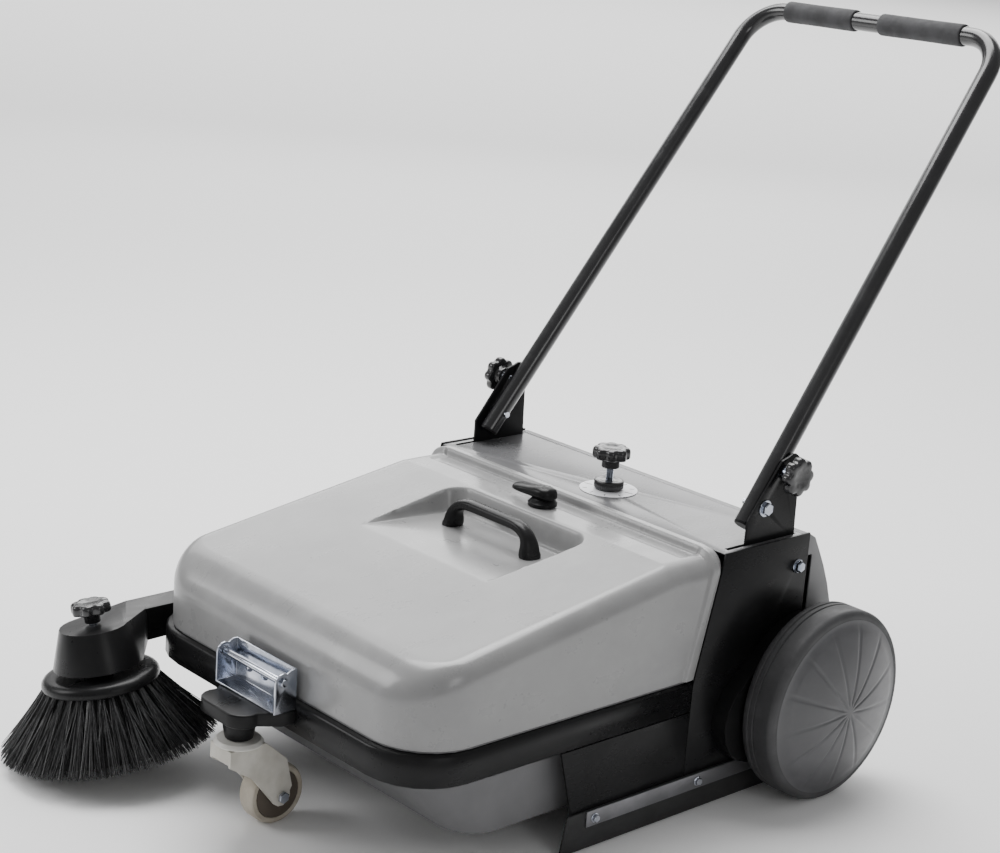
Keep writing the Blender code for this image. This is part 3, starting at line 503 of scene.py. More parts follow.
nylon = moulded("nylon", (0.014, 0.014, 0.015), (0.024, 0.024, 0.026), (0.35, 0.5), 900.0, 0.00010)
for node in ("drive_gear", "brush_pinion"):
    fit_cad(f"{node}_teeth", node, nylon, 0.0003, 1, 40, angle=30)
core_finish = moulded("core_finish", (0.06, 0.06, 0.063), (0.10, 0.10, 0.105), (0.4, 0.55), 700.0, 0.0001)
frame["nodes"]["main_brush_core"].data.materials.clear()
frame["nodes"]["main_brush_core"].data.materials.append(core_finish)

bristle, bristle_shader, bristle_spot = new_finish("bristle", {"Specular IOR Level": 0.6})
bristle_streaks = bristle_spot.noise(420.0, 1.0, 0.5, (1.0, 1.0, 0.2))
bristle_dust = bristle_spot.noise(30.0, 4.0)
feed(bristle_shader, {
    "Base Color": bristle_streaks.between(0.35, 0.72).tint(
        (0.006, 0.006, 0.0065),
        bristle_dust.between(0.3, 0.7).tint((0.020, 0.020, 0.021), (0.05, 0.05, 0.052)),
    ),
    "Roughness": bristle_dust * 0.25 + 0.32,
})


def bridged(bm, rows):
    """Joins rows of points, each a closed ring, by a band of faces between each two."""
    for row, after in zip(rows, rows[1:]):
        for s in range(len(row)):
            bm.faces.new((row[s - 1], row[s], after[s], after[s - 1]))


def around(sides):
    """Even angles round a full turn."""
    return [math.tau * s / sides for s in range(sides)]


def strand(thick, bow=0.06, rings=4):
    """One bristle, one unit long up Z, with a slight bow and a blunt tip."""
    bm = bmesh.new()
    rows = []
    for k in range(rings):
        t = k / (rings - 1)
        r = thick * (1.0 - 0.45 * t)
        spots = [(bow * t * t + r * math.cos(a), r * math.sin(a), t) for a in around(3)]
        rows.append([bm.verts.new(spot) for spot in spots])
    bridged(bm, rows)
    bm.faces.new(rows[0][::-1])
    bm.faces.new(rows[-1])
    return bm


chance = random.Random(7)
strand_spots = []
for row in range(brush_rows):
    for k in range(tufts_per_row):
        along = (k + 0.5) / tufts_per_row
        x = brush_low.x + 0.006 + along * (brush_high.x - brush_low.x - 0.012)
        chevron = 0.5 * abs(along - 0.5)
        for _ in range(strands_per_tuft):
            angle = math.tau * row / brush_rows + chevron + chance.uniform(-0.05, 0.05)
            lean = chance.uniform(-0.05, 0.05)
            outward = Vector((lean, math.cos(angle), math.sin(angle))).normalized()
            root = Vector((x, brush_middle.y, brush_middle.z)) + outward * (core_reach - 0.001)
            length = (brush_reach - core_reach) * chance.uniform(0.94, 0.99)
            strand_spots.append((root, outward, (1.0, 1.0, length)))
stand("main_brush_strands", strand_spots, strand(0.0009, 0.003, 3), bristle, "main_brush", 0.05, 3,
      ("main_brush_bristles",))


# Wheels: solid grey rubber tyres on moulded hubs, each closed by a pressed-in dished disc with
# shallow grooves running out from its middle. Two fine grooves run round the tyre's inner shoulder.
tyre_reach = wheel_axis.z
tyre_low, tyre_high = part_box("tyre_left")
disc_low, disc_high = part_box("wheel_disc_left")
disc_reach = (disc_high.z - disc_low.z) / 2
disc_grooves = 13
groove_depth = 0.0011
groove_at = (0.0125, 0.0205)
groove_half = 0.0007
tyre_shoulder, shoulder_steps = 0.0085, 6
wall_reach = 0.1165

tyre_rubber = moulded(
    "tyre_rubber", (0.036, 0.036, 0.038), (0.056, 0.056, 0.059), (0.50, 0.72), 750.0, 0.00025, patch=14.0,
    dust=0.14, dust_tone=0.13,
)
disc_plastic = moulded(
    "disc_plastic", (0.062, 0.062, 0.066), (0.082, 0.082, 0.087), (0.30, 0.42), 1200.0, 0.00008, patch=12.0,
    dust=0.07, dust_tone=0.2,
)


def tyre_profile():
    """(radius, distance in from the inner wall) of the tyre, with its grooves."""
    width = tyre_high.x - tyre_low.x
    angles = [math.pi / 2 * k / shoulder_steps for k in range(shoulder_steps + 1)]
    spots = [(0.1000, 0.0004), (0.1100, 0.0), (wall_reach, 0.0)]
    spots += [(wall_reach + tyre_shoulder * math.sin(a), tyre_shoulder - tyre_shoulder * math.cos(a))
              for a in angles[1:]]
    for middle in groove_at:
        for side, drop in ((-2.0, 0.0), (-1.0, 0.6), (0.0, 1.0), (1.0, 0.6), (2.0, 0.0)):
            spots.append((tyre_reach - drop * 0.0018, middle + side * groove_half))
    spots += [(wall_reach + tyre_shoulder * math.cos(a), width - tyre_shoulder + tyre_shoulder * math.sin(a))
              for a in angles]
    return spots + [(0.1100, width), (0.1000, width - 0.0004)]


def inner_x(node, side):
    """X of the end that faces the machine's middle, of a node on its left (1) or right (-1)."""
    low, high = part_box(node)
    return low.x if side > 0 else high.x


def along_x(bm, place, side=1):
    """Lays a solid turned about Z along X at a place on the left, or mirrored to the right."""
    bm.transform(Matrix.Rotation(math.pi / 2, 4, "Y"))
    if side < 0:
        bm.transform(Matrix.Diagonal((-1.0, 1.0, 1.0, 1.0)))
    bm.transform(Matrix.Translation(place))
    return bm


def dished_disc(rings=18, sides=208):
    """The wheel's cover: a dome with narrow grooves, a turned-back rim and a small centre boss."""
    bm = bmesh.new()
    rise = disc_high.x - disc_low.x
    rows = []
    for k in range(1, rings + 1):
        r = disc_reach * k / rings
        height = rise * (1 - (r / disc_reach) ** 2) ** 1.05
        ring = []
        for angle in around(sides):
            swing = ((angle * disc_grooves / math.tau + 0.5) % 1.0 - 0.5) * math.tau / disc_grooves * r
            groove = math.exp(-((swing / 0.0016) ** 2)) if 0.012 < r < 0.104 else 0.0
            rim = 0.0012 if k == rings - 1 else 0.0
            z = height - groove * groove_depth - rim
            ring.append(bm.verts.new((r * math.cos(angle), r * math.sin(angle), z)))
        rows.append(ring)
    foot = [bm.verts.new((v.co.x * 0.992, v.co.y * 0.992, -0.0002)) for v in rows[-1]]
    rows.append(foot)
    middle = bm.verts.new((0.0, 0.0, rise))
    under = bm.verts.new((0.0, 0.0, 0.0))
    bridged(bm, rows)
    for s in range(sides):
        bm.faces.new((rows[0][s - 1], rows[0][s], middle))
        bm.faces.new((foot[s], foot[s - 1], under))
    return bm


for side, hand in ((1, "left"), (-1, "right")):
    body = f"{hand}_wheel"
    inner, seat = inner_x(f"tyre_{hand}", side), inner_x(f"wheel_disc_{hand}", side)
    tread = along_x(turned(tyre_profile(), 112), (inner, wheel_axis.y, wheel_axis.z), side)
    fit(f"tyre_{hand}_tread", tread, tyre_rubber, body, (f"tyre_{hand}",), 40)
    disc = along_x(dished_disc(), (seat, wheel_axis.y, wheel_axis.z), side)
    fit(f"wheel_{hand}_disc", disc, disc_plastic, body, (f"wheel_disc_{hand}",), 50)
    node = f"wheel_hub_{hand}"
    fit_cad(f"{node}_moulding", node, core_finish, 0.0010, 1, 40, angle=40)


# Hopper: a light grey rotation-moulded hood with a well rounded front, a raised lip round its
# open rear and a wedge-shaped pocket for the hand. It stands on a tub inside the band, whose grey is painted
# darker as painted shade.
hood_low, hood_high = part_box("hopper_hood")
hood_x = (hood_low.x + hood_high.x) / 2
hood_half = (hood_high.x - hood_low.x) / 2 - 0.0015
lip_y, lip_z = hood_high.y, hood_high.z
lip_tall, lip_proud, lip_wide, lip_foot = 0.0090, 0.0030, 0.0125, 0.0178
lip_nose, lip_nose_drop = 0.0050, 0.22
channel_deep, channel_long, channel_lead, channel_step, channel_ends = 0.0028, 0.0300, 0.0040, 0.0035, 0.006
rear_lean, crease_soft = 0.2256, 0.000003
roof_z, roof_fall, roof_crease = lip_z - lip_tall, 0.162, lip_y - 0.0822
side_round, front_round, corner_round, corner_shift = 0.026, 0.046, 0.078, 0.012
pocket_half, pocket_rear, pocket_round = 0.1180, lip_y - 0.0980, 0.020
pocket_floor, pocket_rise, pocket_steep, pocket_cove = lip_z - 0.0440, 0.046, 3.4, 0.0070
pocket_crisp, pocket_soft, soft_from, soft_over = 0.0005, 0.0030, 0.130, 0.070
taper_from, taper_rate = 0.04, 1.6
hood_wall = 0.0033
joint_of = {joint["name"]: joint for joint in frame["joints"]}
stem_x, stem_y = joint_of["latch_turn"]["pos_m"][:2]
stem_bore, bore_deep = 0.0054, 0.030
hood_light, hood_dark = (0.265, 0.265, 0.265), (0.225, 0.225, 0.227)

hopper_grey, hopper_shader, hopper_spot = new_finish(
    "hopper_grey", {"Coat Weight": 0.35, "Coat Roughness": 0.14}
)
hopper_cloud = hopper_spot.noise(7.0, 5.0, 0.6)
hopper_flow = hopper_spot.noise(22.0, 5.0, 0.65, (1.0, 0.5, 0.8))
hopper_grain = hopper_spot.noise(520.0, 3.0)
hopper_rub = hopper_spot.noise(60.0, 6.0, 0.75, (0.25, 1.0, 1.0))
hopper_colour = hopper_cloud.between(0.30, 0.70).tint(hood_dark, hood_light)
hopper_colour = (hopper_flow.between(0.50, 0.74) * 0.35).tint(hopper_colour, (0.33, 0.33, 0.335))
hopper_colour = (hopper_rub.between(0.66, 0.84) * 0.05).tint(hopper_colour, (0.24, 0.24, 0.242))
hopper_soft = hopper_spot.noise(14.0, 2.0).bump(0.30, 0.0018)
feed(hopper_shader, {
    "Base Color": hopper_colour,
    "Roughness": hopper_flow.between(0.3, 0.7) * 0.14 + hopper_rub * 0.10 + 0.20,
    "Normal": hopper_grain.bump(0.35, 0.00015, Normal=hopper_soft),
})


def ease(t):
    """0 to 1 with soft ends."""
    t = min(max(t, 0.0), 1.0)
    return t * t * (3 - 2 * t)


def soft_min(a, b, blend):
    """The lesser of two heights, rounded where they meet."""
    near = max(blend - abs(a - b), 0.0) / blend
    return min(a, b) - near * near * blend / 4


def rear_edge(z):
    return lip_y - (lip_z - z) * rear_lean


def roof(y):
    past = roof_crease - y
    return roof_z - roof_fall * 0.5 * (past + math.sqrt(past * past + crease_soft))


def lip(back):
    """Height of the lip, from 1 to 0, at a distance in front of the hood's rear edge."""
    return ease((lip_foot - back) / (lip_foot - lip_wide)) - lip_nose_drop * (1 - ease(back / lip_nose))


def channel(x, back):
    """Depth of the shallow channel in front of the lip, running out before the hood's sides."""
    ends = ease((hood_half - side_round - abs(x)) / channel_ends)
    front = ease((lip_foot + channel_long - back) / channel_step)
    return channel_deep * ends * (front * ease((back - lip_foot + channel_lead) / channel_lead))


def crown(x, y):
    """Height of the roof with its pocket and lip."""
    across, behind = abs(x) - pocket_half + pocket_round, y - pocket_rear + pocket_round
    out = math.hypot(max(across, 0.0), max(behind, 0.0)) + min(max(across, behind), 0.0) - pocket_round
    base = pocket_floor + pocket_rise * (pocket_rear - y)
    inside = -soft_min(-base, -pocket_floor - out * pocket_steep, pocket_cove)
    blend = pocket_crisp + pocket_soft * ease((y - pocket_rear + soft_from) / soft_over)
    bare = roof(y) - channel(x, lip_y - y)
    return soft_min(bare, inside, blend) + lip_tall * lip(lip_y - y)


def stations(*runs):
    """Rising numbers from runs of (start, end, step)."""
    marks = []
    for start, end, step in runs:
        count = max(1, round((end - start) / step))
        marks += [start + (end - start) * k / count for k in range(count)]
    return marks + [runs[-1][1]]


side_rows = stations(
    (0.0, 0.006, 0.001), (0.006, 0.020, 0.0012), (0.020, 0.042, 0.0055), (0.042, 0.050, 0.0013),
    (0.050, 0.078, 0.0056), (0.078, 0.108, 0.0015), (0.108, 0.236, 0.0080), (0.236, 0.272, 0.0030),
    (0.272, 0.404, 0.0095),
)
half_shares = stations((0.0, 0.38, 0.0380), (0.38, 0.56, 0.0080), (0.56, 0.96, 0.0400), (0.96, 1.0, 0.0100))
shares = [-f for f in reversed(half_shares[1:])] + half_shares
arc_steps, turn_steps = 16, 12


def rim_row(turn, low=None):
    """Points down the left of the hood and along its front, as (x, y, z), for one row of its edge."""
    draw, fall = 1 - math.cos(turn), 1 - math.sin(turn)
    half, front = hood_half - side_round * draw, hood_low.y + front_round * draw
    centre_x = hood_half - corner_round + corner_shift * draw
    centre_y = hood_low.y + corner_round - corner_shift * draw
    top = roof_z - side_round * fall if low is None else low
    start = rear_edge(top)
    straight = lip_y - side_rows[-1]
    points = []
    for back in side_rows:
        share = max(0.0, (back - taper_from) / (side_rows[-1] - taper_from))
        y = start - back + ease(share * taper_rate) * (lip_y - start) + share * (centre_y - straight)
        z = roof(y) - side_round * fall if low is None else low
        swell = lip(back) * (lip_proud + (lip_tall - lip_proud) * ease(math.sin(turn)))
        points.append((half + swell * math.cos(turn), y, z + swell * math.sin(turn)))
    for k in range(1, arc_steps + 1):
        share = k / arc_steps
        angle = share * math.pi / 2
        y = centre_y - (centre_y - front) * math.sin(angle)
        rounding = side_round + (front_round - side_round) * share
        z = roof(y) - rounding * fall if low is None else low
        points.append((centre_x + (half - centre_x) * math.cos(angle), y, z))
    z = roof(front) - front_round * fall if low is None else low
    across = [(share * centre_x, front, z) for share in reversed(shares[1:-1])]
    return points + across + [(-x, y, z) for x, y, z in reversed(points)]


hood = bmesh.new()
rows = [rim_row(0.0, hood_low.z + rise) for rise in (0.0, 0.012, 0.026)]
rows += [rim_row(math.pi / 2 * k / turn_steps) for k in range(turn_steps + 1)]
rows = [[hood.verts.new((hood_x + x, y, z)) for x, y, z in row] for row in rows]
for row, after in zip(rows, rows[1:]):
    for k in range(len(row) - 1):
        hood.faces.new((row[k], row[k + 1], after[k + 1], after[k]))
edge = rows[-1]
deep = len(side_rows) + arc_steps
grid = []
for k in range(deep - 1):
    left, right = edge[k], edge[-1 - k]
    reach = left.co.x - hood_x
    line = [right]
    for share in shares[1:-1]:
        line.append(hood.verts.new((hood_x + share * reach, left.co.y, crown(share * reach, left.co.y))))
    grid.append(line + [left])
grid.append(edge[deep - 1:len(edge) - deep + 1][::-1])
for line, after in zip(grid, grid[1:]):
    for k in range(len(line) - 1):
        hood.faces.new((line[k], line[k + 1], after[k + 1], after[k]))
skin = placed("hood_skin", meshed("hood_skin", hood))
thicken = skin.modifiers.new("wall", "SOLIDIFY")
thicken.thickness = hood_wall
thicken.offset = -1.0
bore = bmesh.new()
bmesh.ops.create_cone(
    bore, cap_ends=True, segments=32, radius1=stem_bore, radius2=stem_bore, depth=bore_deep,
    matrix=Matrix.Translation((stem_x, stem_y, roof_z)),
)
cutter = placed("stem_bore", meshed("stem_bore", bore))
cut = skin.modifiers.new("bore", "BOOLEAN")
cut.object, cut.solver = cutter, "EXACT"
bpy.context.view_layer.update()
solid = bpy.data.meshes.new_from_object(skin.evaluated_get(bpy.context.evaluated_depsgraph_get()))
bpy.data.objects.remove(skin)
bpy.data.objects.remove(cutter)
hood = bmesh.new()
hood.from_mesh(solid)
bpy.data.meshes.remove(solid)
fit("hopper_hood_moulding", hood, hopper_grey, "hopper", ("hopper_hood",), 60)

# Painted shade: the tub is the same plastic as the hood, and its grey is painted darker for the shade under the
# band.
tub_grey = moulded(
    "tub_grey", (0.135, 0.135, 0.14), (0.17, 0.17, 0.175), (0.42, 0.55), 650.0, 0.00015, patch=8.0, dust=0.10,
    dust_tone=0.22,
)
fit_cad("hopper_tub_moulding", "hopper_tub", tub_grey, 0.009, 4, 50, angle=60)


# Carry handle and latch: satin black mouldings. The bow stands on two flared feet in the pocket,
# and the latch is a thumb paddle on a round collar, with a stem through the hood to its cam.
bow_low, bow_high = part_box("carry_handle")
bow_middle = (bow_low + bow_high) / 2
bow_foot = (bow_high.x - bow_low.x) / 2 - 0.0070
bow_rise = bow_high.z - bow_low.z - 0.0020
bow_bend, bow_steps = 0.034, 16
latch_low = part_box("latch_lever")[0]
collar_reach = 0.0190
paddle = (  # (along the paddle, half width, underside, top) from the collar's top
    (0.0180, 0.0030, 0.0022, 0.0080), (0.0168, 0.0090, 0.0006, 0.0128), (0.0120, 0.0130, -0.0004, 0.0158),
    (0.0020, 0.0146, -0.0006, 0.0168), (-0.0080, 0.0140, -0.0006, 0.0158), (-0.0190, 0.0130, -0.0006, 0.0132),
    (-0.0300, 0.0136, -0.0004, 0.0114), (-0.0390, 0.0142, 0.0, 0.0104), (-0.0455, 0.0124, 0.0004, 0.0094),
    (-0.0492, 0.0080, 0.0012, 0.0082), (-0.0504, 0.0030, 0.0026, 0.0066),
)

satin_black = moulded(
    "satin_black", (0.008, 0.008, 0.0085), (0.014, 0.014, 0.0145), (0.24, 0.36), 1300.0, 0.00006, patch=20.0,
    fixed={"Specular IOR Level": 0.18}, dust=0.03,
)


def oval(wide, thick, sides=24, square=2.6):
    """Section points of a rounded bar, from round (2) to square."""
    spots = []
    for angle in around(sides):
        c, d = math.cos(angle), math.sin(angle)
        out, up = abs(c) ** (2 / square), abs(d) ** (2 / square)
        spots.append((math.copysign(out, c) * wide, math.copysign(up, d) * thick))
    return spots


def swept(path, outline, across=(0, 1, 0)):
    """A bar along a path; outline(k) gives the (across, other) reaches of its section at point k."""
    bm = bmesh.new()
    across = Vector(across)
    rows = []
    for k, point in enumerate(path):
        ahead = (path[min(k + 1, len(path) - 1)] - path[max(k - 1, 0)]).normalized()
        across = (across - ahead * across.dot(ahead)).normalized()
        other = ahead.cross(across)
        rows.append([bm.verts.new(point + across * a + other * b) for a, b in outline(k)])
    bridged(bm, rows)
    bm.faces.new(rows[0][::-1])
    bm.faces.new(rows[-1])
    return bm


bow_side = [(bow_foot, -0.0006), (bow_foot, 0.0012)]
for k in range(1, bow_steps + 1):
    angle = math.pi / 2 * k / bow_steps
    inward = bow_bend * (1 - math.cos(angle)) ** 1.25
    bow_side.append((bow_foot - 0.0020 - inward, bow_rise * math.sin(angle) ** 0.80))
bow_side += [(0.024, bow_rise), (0.012, bow_rise)]
bow_path = [Vector((bow_middle.x + x, bow_middle.y, bow_low.z + z)) for x, z in bow_side]
bow_path += [Vector((bow_middle.x, bow_middle.y, bow_low.z + bow_rise))]
bow_path += [Vector((2 * bow_middle.x - p.x, p.y, p.z)) for p in reversed(bow_path[:-1])]


def bow_section(k):
    flare = 1 - ease((bow_path[k].z - bow_low.z) / (0.9 * bow_rise))
    return oval(0.0096 + 0.0050 * flare, 0.0068 + 0.0034 * flare)


fit("carry_handle_bow", swept(bow_path, bow_section), satin_black, "hopper",
    ("carry_handle",), 60)

collar_z = latch_low.z + 0.0215
collar = flat_ended([
    (0.0178, -0.0098), (collar_reach, -0.0090), (collar_reach, -0.0050), (0.0172, -0.0036), (0.0150, -0.0010),
    (0.0138, 0.0004),
], 48)
stem = flat_ended([(0.0050, -0.0215), (0.0050, 0.001)], 24)
wing = bmesh.new()
rows = []
for along, wide, under, above in paddle:
    middle, thick = (above + under) / 2 - 0.0006, (above - under) / 2
    rows.append([wing.verts.new((along, a, middle + b)) for a, b in oval(wide, thick, 24, 2.5)])
bridged(wing, rows)
wing.faces.new(rows[0])
wing.faces.new(rows[-1][::-1])
cam = bmesh.new()
cam_place, cam_size = (-0.028, 0, -0.0190), (0.072, 0.016, 0.005, 1.0)
bmesh.ops.create_cube(cam, size=1.0, matrix=Matrix.Translation(cam_place) @ Matrix.Diagonal(cam_size))
bmesh.ops.bevel(cam, geom=cam.edges[:], offset=0.0012, segments=2, profile=0.5, affect="EDGES")
lever = joined([collar, stem, wing, cam])
lever.transform(Matrix.Translation((stem_x, stem_y, collar_z)))
fit("latch_lever_paddle", lever, satin_black, "latch", ("latch_lever",), 50)


# Front end: the black caster plate, the zinc bracket with its round bar and dome-head rivets, and
# a swivel caster with a beige fork, a dark core and a pale elastic tread.
bracket_low, bracket_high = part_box("front_bracket")
caster_low, caster_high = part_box("caster_tread")
caster_middle = (caster_low + caster_high) / 2
fork_low, fork_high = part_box("caster_fork")
rivet_z, rivets_at = 0.187, (0.24, 0.50, 0.76)

for node in ("caster_plate", "caster_stem"):
    fit_cad(f"{node}_moulding", node, black_moulding, 0.0022, 3, 30, angle=50)
fit_cad("front_bracket_pressing", "front_bracket", zinc, 0.0007)
fit_cad("front_bracket_rod", "front_bar", zinc, 0.0006, 2, 60, angle=50)
rivet_dome = [(0.0, 0.0), (0.0058, 0.0), (0.0056, 0.0010), (0.0046, 0.0024), (0.0028, 0.0034), (0.0, 0.0038)]
rivet = turned(rivet_dome, 20)
rivet_face = bracket_high.y - 0.0025
rivet_spots = [((bracket_low.x + (bracket_high.x - bracket_low.x) * share, rivet_face, rivet_z),
                (0, -1, 0), (1.0, 1.0, 1.0)) for share in rivets_at]
stand("front_bracket_rivets", rivet_spots, rivet, zinc, "chassis")

fork_beige = moulded(
    "fork_beige", (0.46, 0.44, 0.39), (0.58, 0.56, 0.51), (0.38, 0.5), 800.0, 0.0001, patch=30.0, dust=0.10,
    dust_tone=0.3,
)
cap_white = moulded(
    "cap_white", (0.60, 0.59, 0.55), (0.70, 0.69, 0.66), (0.30, 0.42), 800.0, 0.00008, patch=30.0, dust=0.06,
    dust_tone=0.4,
)
tread_tan = moulded(
    "tread_tan", (0.36, 0.32, 0.26), (0.46, 0.42, 0.35), (0.5, 0.65), 700.0, 0.0001, patch=40.0, dust=0.2,
    dust_tone=0.2,
)
core_brown = moulded("core_brown", (0.055, 0.042, 0.030), (0.085, 0.067, 0.050), (0.35, 0.5), 800.0, 0.0001)
fit_cad("caster_fork_moulding", "caster_fork", fork_beige, 0.0016, 3, 30, angle=50)
fit_cad("caster_cap_disc", "caster_cap", cap_white, 0.0006, 2, 50, angle=50)
fit_cad("caster_tread_ring", "caster_tread", tread_tan, 0.0012, 3, 30, angle=50)
fit_cad("caster_core_moulding", "caster_wheel_core", core_brown, 0.0008, 2, 40, angle=50)
axle_spots = [((fork_low.x - 0.0002 if side < 0 else fork_high.x + 0.0002, caster_middle.y, caster_middle.z),
               (side, 0, 0), (1.0, 1.0, 1.0)) for side in (-1, 1)]
stand("caster_axle_nuts", axle_spots, hex_head(0.013, 0.004, False), zinc, "caster_fork")


# Side brush: a moulded arm with a domed nose over the brush, a star knob that draws the brush up,
# and a round bristle disc whose tufts spread into a cone that leans out to meet the floor.
axis_joint = joint_of["side_brush_spin"]
brush_spot, brush_axis = Vector(axis_joint["pos_m"]), Vector(axis_joint["axis"]).normalized()
brush_tilt = Vector((0, 0, 1)).rotation_difference(brush_axis).to_matrix().to_4x4()
brush_stand = Matrix.Translation(brush_spot) @ brush_tilt
tuft_rows = (  # (root radius, tip radius, tip depth, tufts, strands in each)
    (0.0665, 0.1335, 0.0915, 34, 34),
    (0.0600, 0.1240, 0.0920, 28, 22),
    (0.0480, 0.1060, 0.0915, 20, 16),
)

fit_cad("side_arm_moulding", "side_arm", black_moulding, 0.0045, 4, 26, angle=60)
disc_profile = [
    (0.058, 0.0), (0.0655, -0.0006), (0.0695, -0.0026), (0.0722, -0.0062), (0.073, -0.0105),
    (0.0718, -0.0138), (0.0690, -0.0150),
]
disc = joined([flat_ended(disc_profile, 72), flat_ended([(0.016, -0.002), (0.0145, 0.0082)], 32)])
disc.transform(brush_stand)
fit("side_brush_plate", disc, satin_black, "side_brush", ("side_brush_disc",), 35)

chance = random.Random(11)
strand_spots = []
for root_reach, tip_reach, depth, tufts, strands in tuft_rows:
    for k in range(tufts):
        tuft_angle = math.tau * (k + 0.5 * (tufts % 4 == 0)) / tufts
        for _ in range(strands):
            spread = chance.gauss(0.0, 0.36) * math.tau / tufts
            root_angle = tuft_angle + chance.uniform(-0.25, 0.25) * math.tau / tufts
            tip_angle = tuft_angle + spread
            root_r = root_reach + chance.uniform(-0.003, 0.003)
            tip_r = tip_reach * chance.uniform(0.955, 1.0)
            root = Vector((root_r * math.cos(root_angle), root_r * math.sin(root_angle), -0.0120))
            tip_z = -depth * chance.uniform(0.965, 1.0)
            tip = Vector((tip_r * math.cos(tip_angle), tip_r * math.sin(tip_angle), tip_z))
            run = tip - root
            root, aim = brush_stand @ root, (brush_stand.to_3x3() @ run).normalized()
            strand_spots.append((root, aim, (1.0, 1.0, run.length)))
stand("side_brush_strands", strand_spots, strand(0.00078, 0.0035, 4), bristle, "side_brush",
      0.02, 5, ("side_brush_bristles",))
felt_profile = [(0.030, -0.0150), (0.062, -0.0150), (0.076, -0.034), (0.100, -0.062), (0.118, -0.084),
                (0.098, -0.082), (0.060, -0.045)]
felt = turned(felt_profile, 64)
felt.transform(brush_stand)
felt_black = moulded("felt_black", (0.003, 0.003, 0.003), (0.007, 0.007, 0.007), (0.8, 0.9), 900.0, 0.0004)
fit("side_brush_inner_tufts", felt, felt_black, "side_brush", (), 35)


# Knobs: black moulded star knobs with rounded lobes, a dished face and a short hub. The two on
# the handle clamp through zinc collars; the others turn the height screw and the side brush.
knob_reach = (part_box("height_knob")[1].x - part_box("height_knob")[0].x) / 2
knob_lobes = 8
star_rows = (  # (how far in from the lobes, share of the head's thickness)
    (0.10, 0.02), (0.035, 0.06), (0.0, 0.20), (0.0, 0.62), (0.025, 0.82), (0.08, 0.94), (0.16, 1.0),
    (0.40, 0.985), (0.55, 0.90),
)


def star_knob(thick, hub_reach, hub):
    """Star head on +Z from its hub's foot, with rounded lobes and a dished top."""
    bm = bmesh.new()
    rows = []
    for inset, z in star_rows:
        ring = []
        for angle in around(knob_lobes * 12):
            lobe = math.cos(knob_lobes * angle)
            wave = 0.075 * (1 - inset * 1.6) * (lobe + 0.28 * (1 - lobe * lobe))
            reach = knob_reach * (0.925 - inset + max(wave, -0.075))
            ring.append(bm.verts.new((reach * math.cos(angle), reach * math.sin(angle), hub + z * thick)))
        rows.append(ring)
    bridged(bm, rows)
    bm.faces.new(rows[0][::-1])
    bm.faces.new(rows[-1])
    flare = flat_ended([
        (hub_reach * 0.94, 0.0), (hub_reach, 0.0012), (hub_reach * 0.98, hub * 0.6),
        (hub_reach * 1.25, hub + 0.15 * thick),
    ], 40)
    return joined([bm, flare])


def stood(bm, place, direction):
    """Moves a solid made up +Z to a place, pointing along a direction."""
    turn = Vector((0, 0, 1)).rotation_difference(Vector(direction)).to_matrix().to_4x4()
    bm.transform(Matrix.Translation(place) @ turn)
    return bm


knob_black = moulded(
    "knob_black", (0.013, 0.013, 0.014), (0.019, 0.019, 0.020), (0.16, 0.26), 1300.0, 0.00004, patch=30.0,
    fixed={"Coat Weight": 0.3, "Coat Roughness": 0.1}, dust=0.02,
)
for side, hand in ((1, "left"), (-1, "right")):
    node = f"clamp_knob_{hand}"
    low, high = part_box(node)
    face, tip = inner_x(f"handle_bracket_{hand}", -side), inner_x(node, -side)
    middle = Vector((face, (low.y + high.y) / 2, (low.z + high.z) / 2))
    collar = flat_ended([(0.0085, 0.0003), (0.0092, 0.0010), (0.0092, 0.0082), (0.0085, 0.0088)], 32)
    fit(f"clamp_collar_{hand}", stood(collar, middle, (side, 0, 0)), zinc, body_of[node])
    hub = abs(tip - face) - 0.009 - 0.013
    start = middle + Vector((side * 0.0089, 0, 0))
    knob = stood(star_knob(0.013, 0.0125, hub), start, (side, 0, 0))
    fit(f"{node}_star", knob, knob_black, body_of[node], (node,), 50)
    stud = flat_ended([(0.0034, -0.0035), (0.0039, -0.0030), (0.0039, 0.0010)], 20)
    fit(f"clamp_stud_{hand}", stood(stud, middle, (side, 0, 0)), zinc, body_of[node])

knob_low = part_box("height_knob")[0]
screw_low, screw_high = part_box("height_screw")
screw_middle = (screw_low + screw_high) / 2
knob_foot = Vector((screw_middle.x, screw_middle.y, knob_low.z))
fit("height_knob_star", stood(star_knob(0.0155, 0.0120, 0.012), knob_foot, (0, 0, 1)), knob_black,
    "height_knob", ("height_knob",), 50)


# Height screw and lock nut: a rolled trapezoidal thread in bright zinc, and a black moulded nut
# with knurled sides that locks it on the cover.
thread_pitch = 0.0018
thread_reach, root_reach, thread_steps = 0.0050, 0.0041, 16
knurls, knurl_depth = 40, 0.0009
nut_rows = (  # (radius, share of the height) up the outside, over the top and down the bore
    (0.0056, 0.0), (0.0172, 0.0), (0.0185, 0.08), (0.0196, 0.16), (0.0196, 0.84), (0.0186, 0.93),
    (0.0165, 1.0), (0.0130, 1.0), (0.0110, 0.94), (0.0056, 0.94),
)

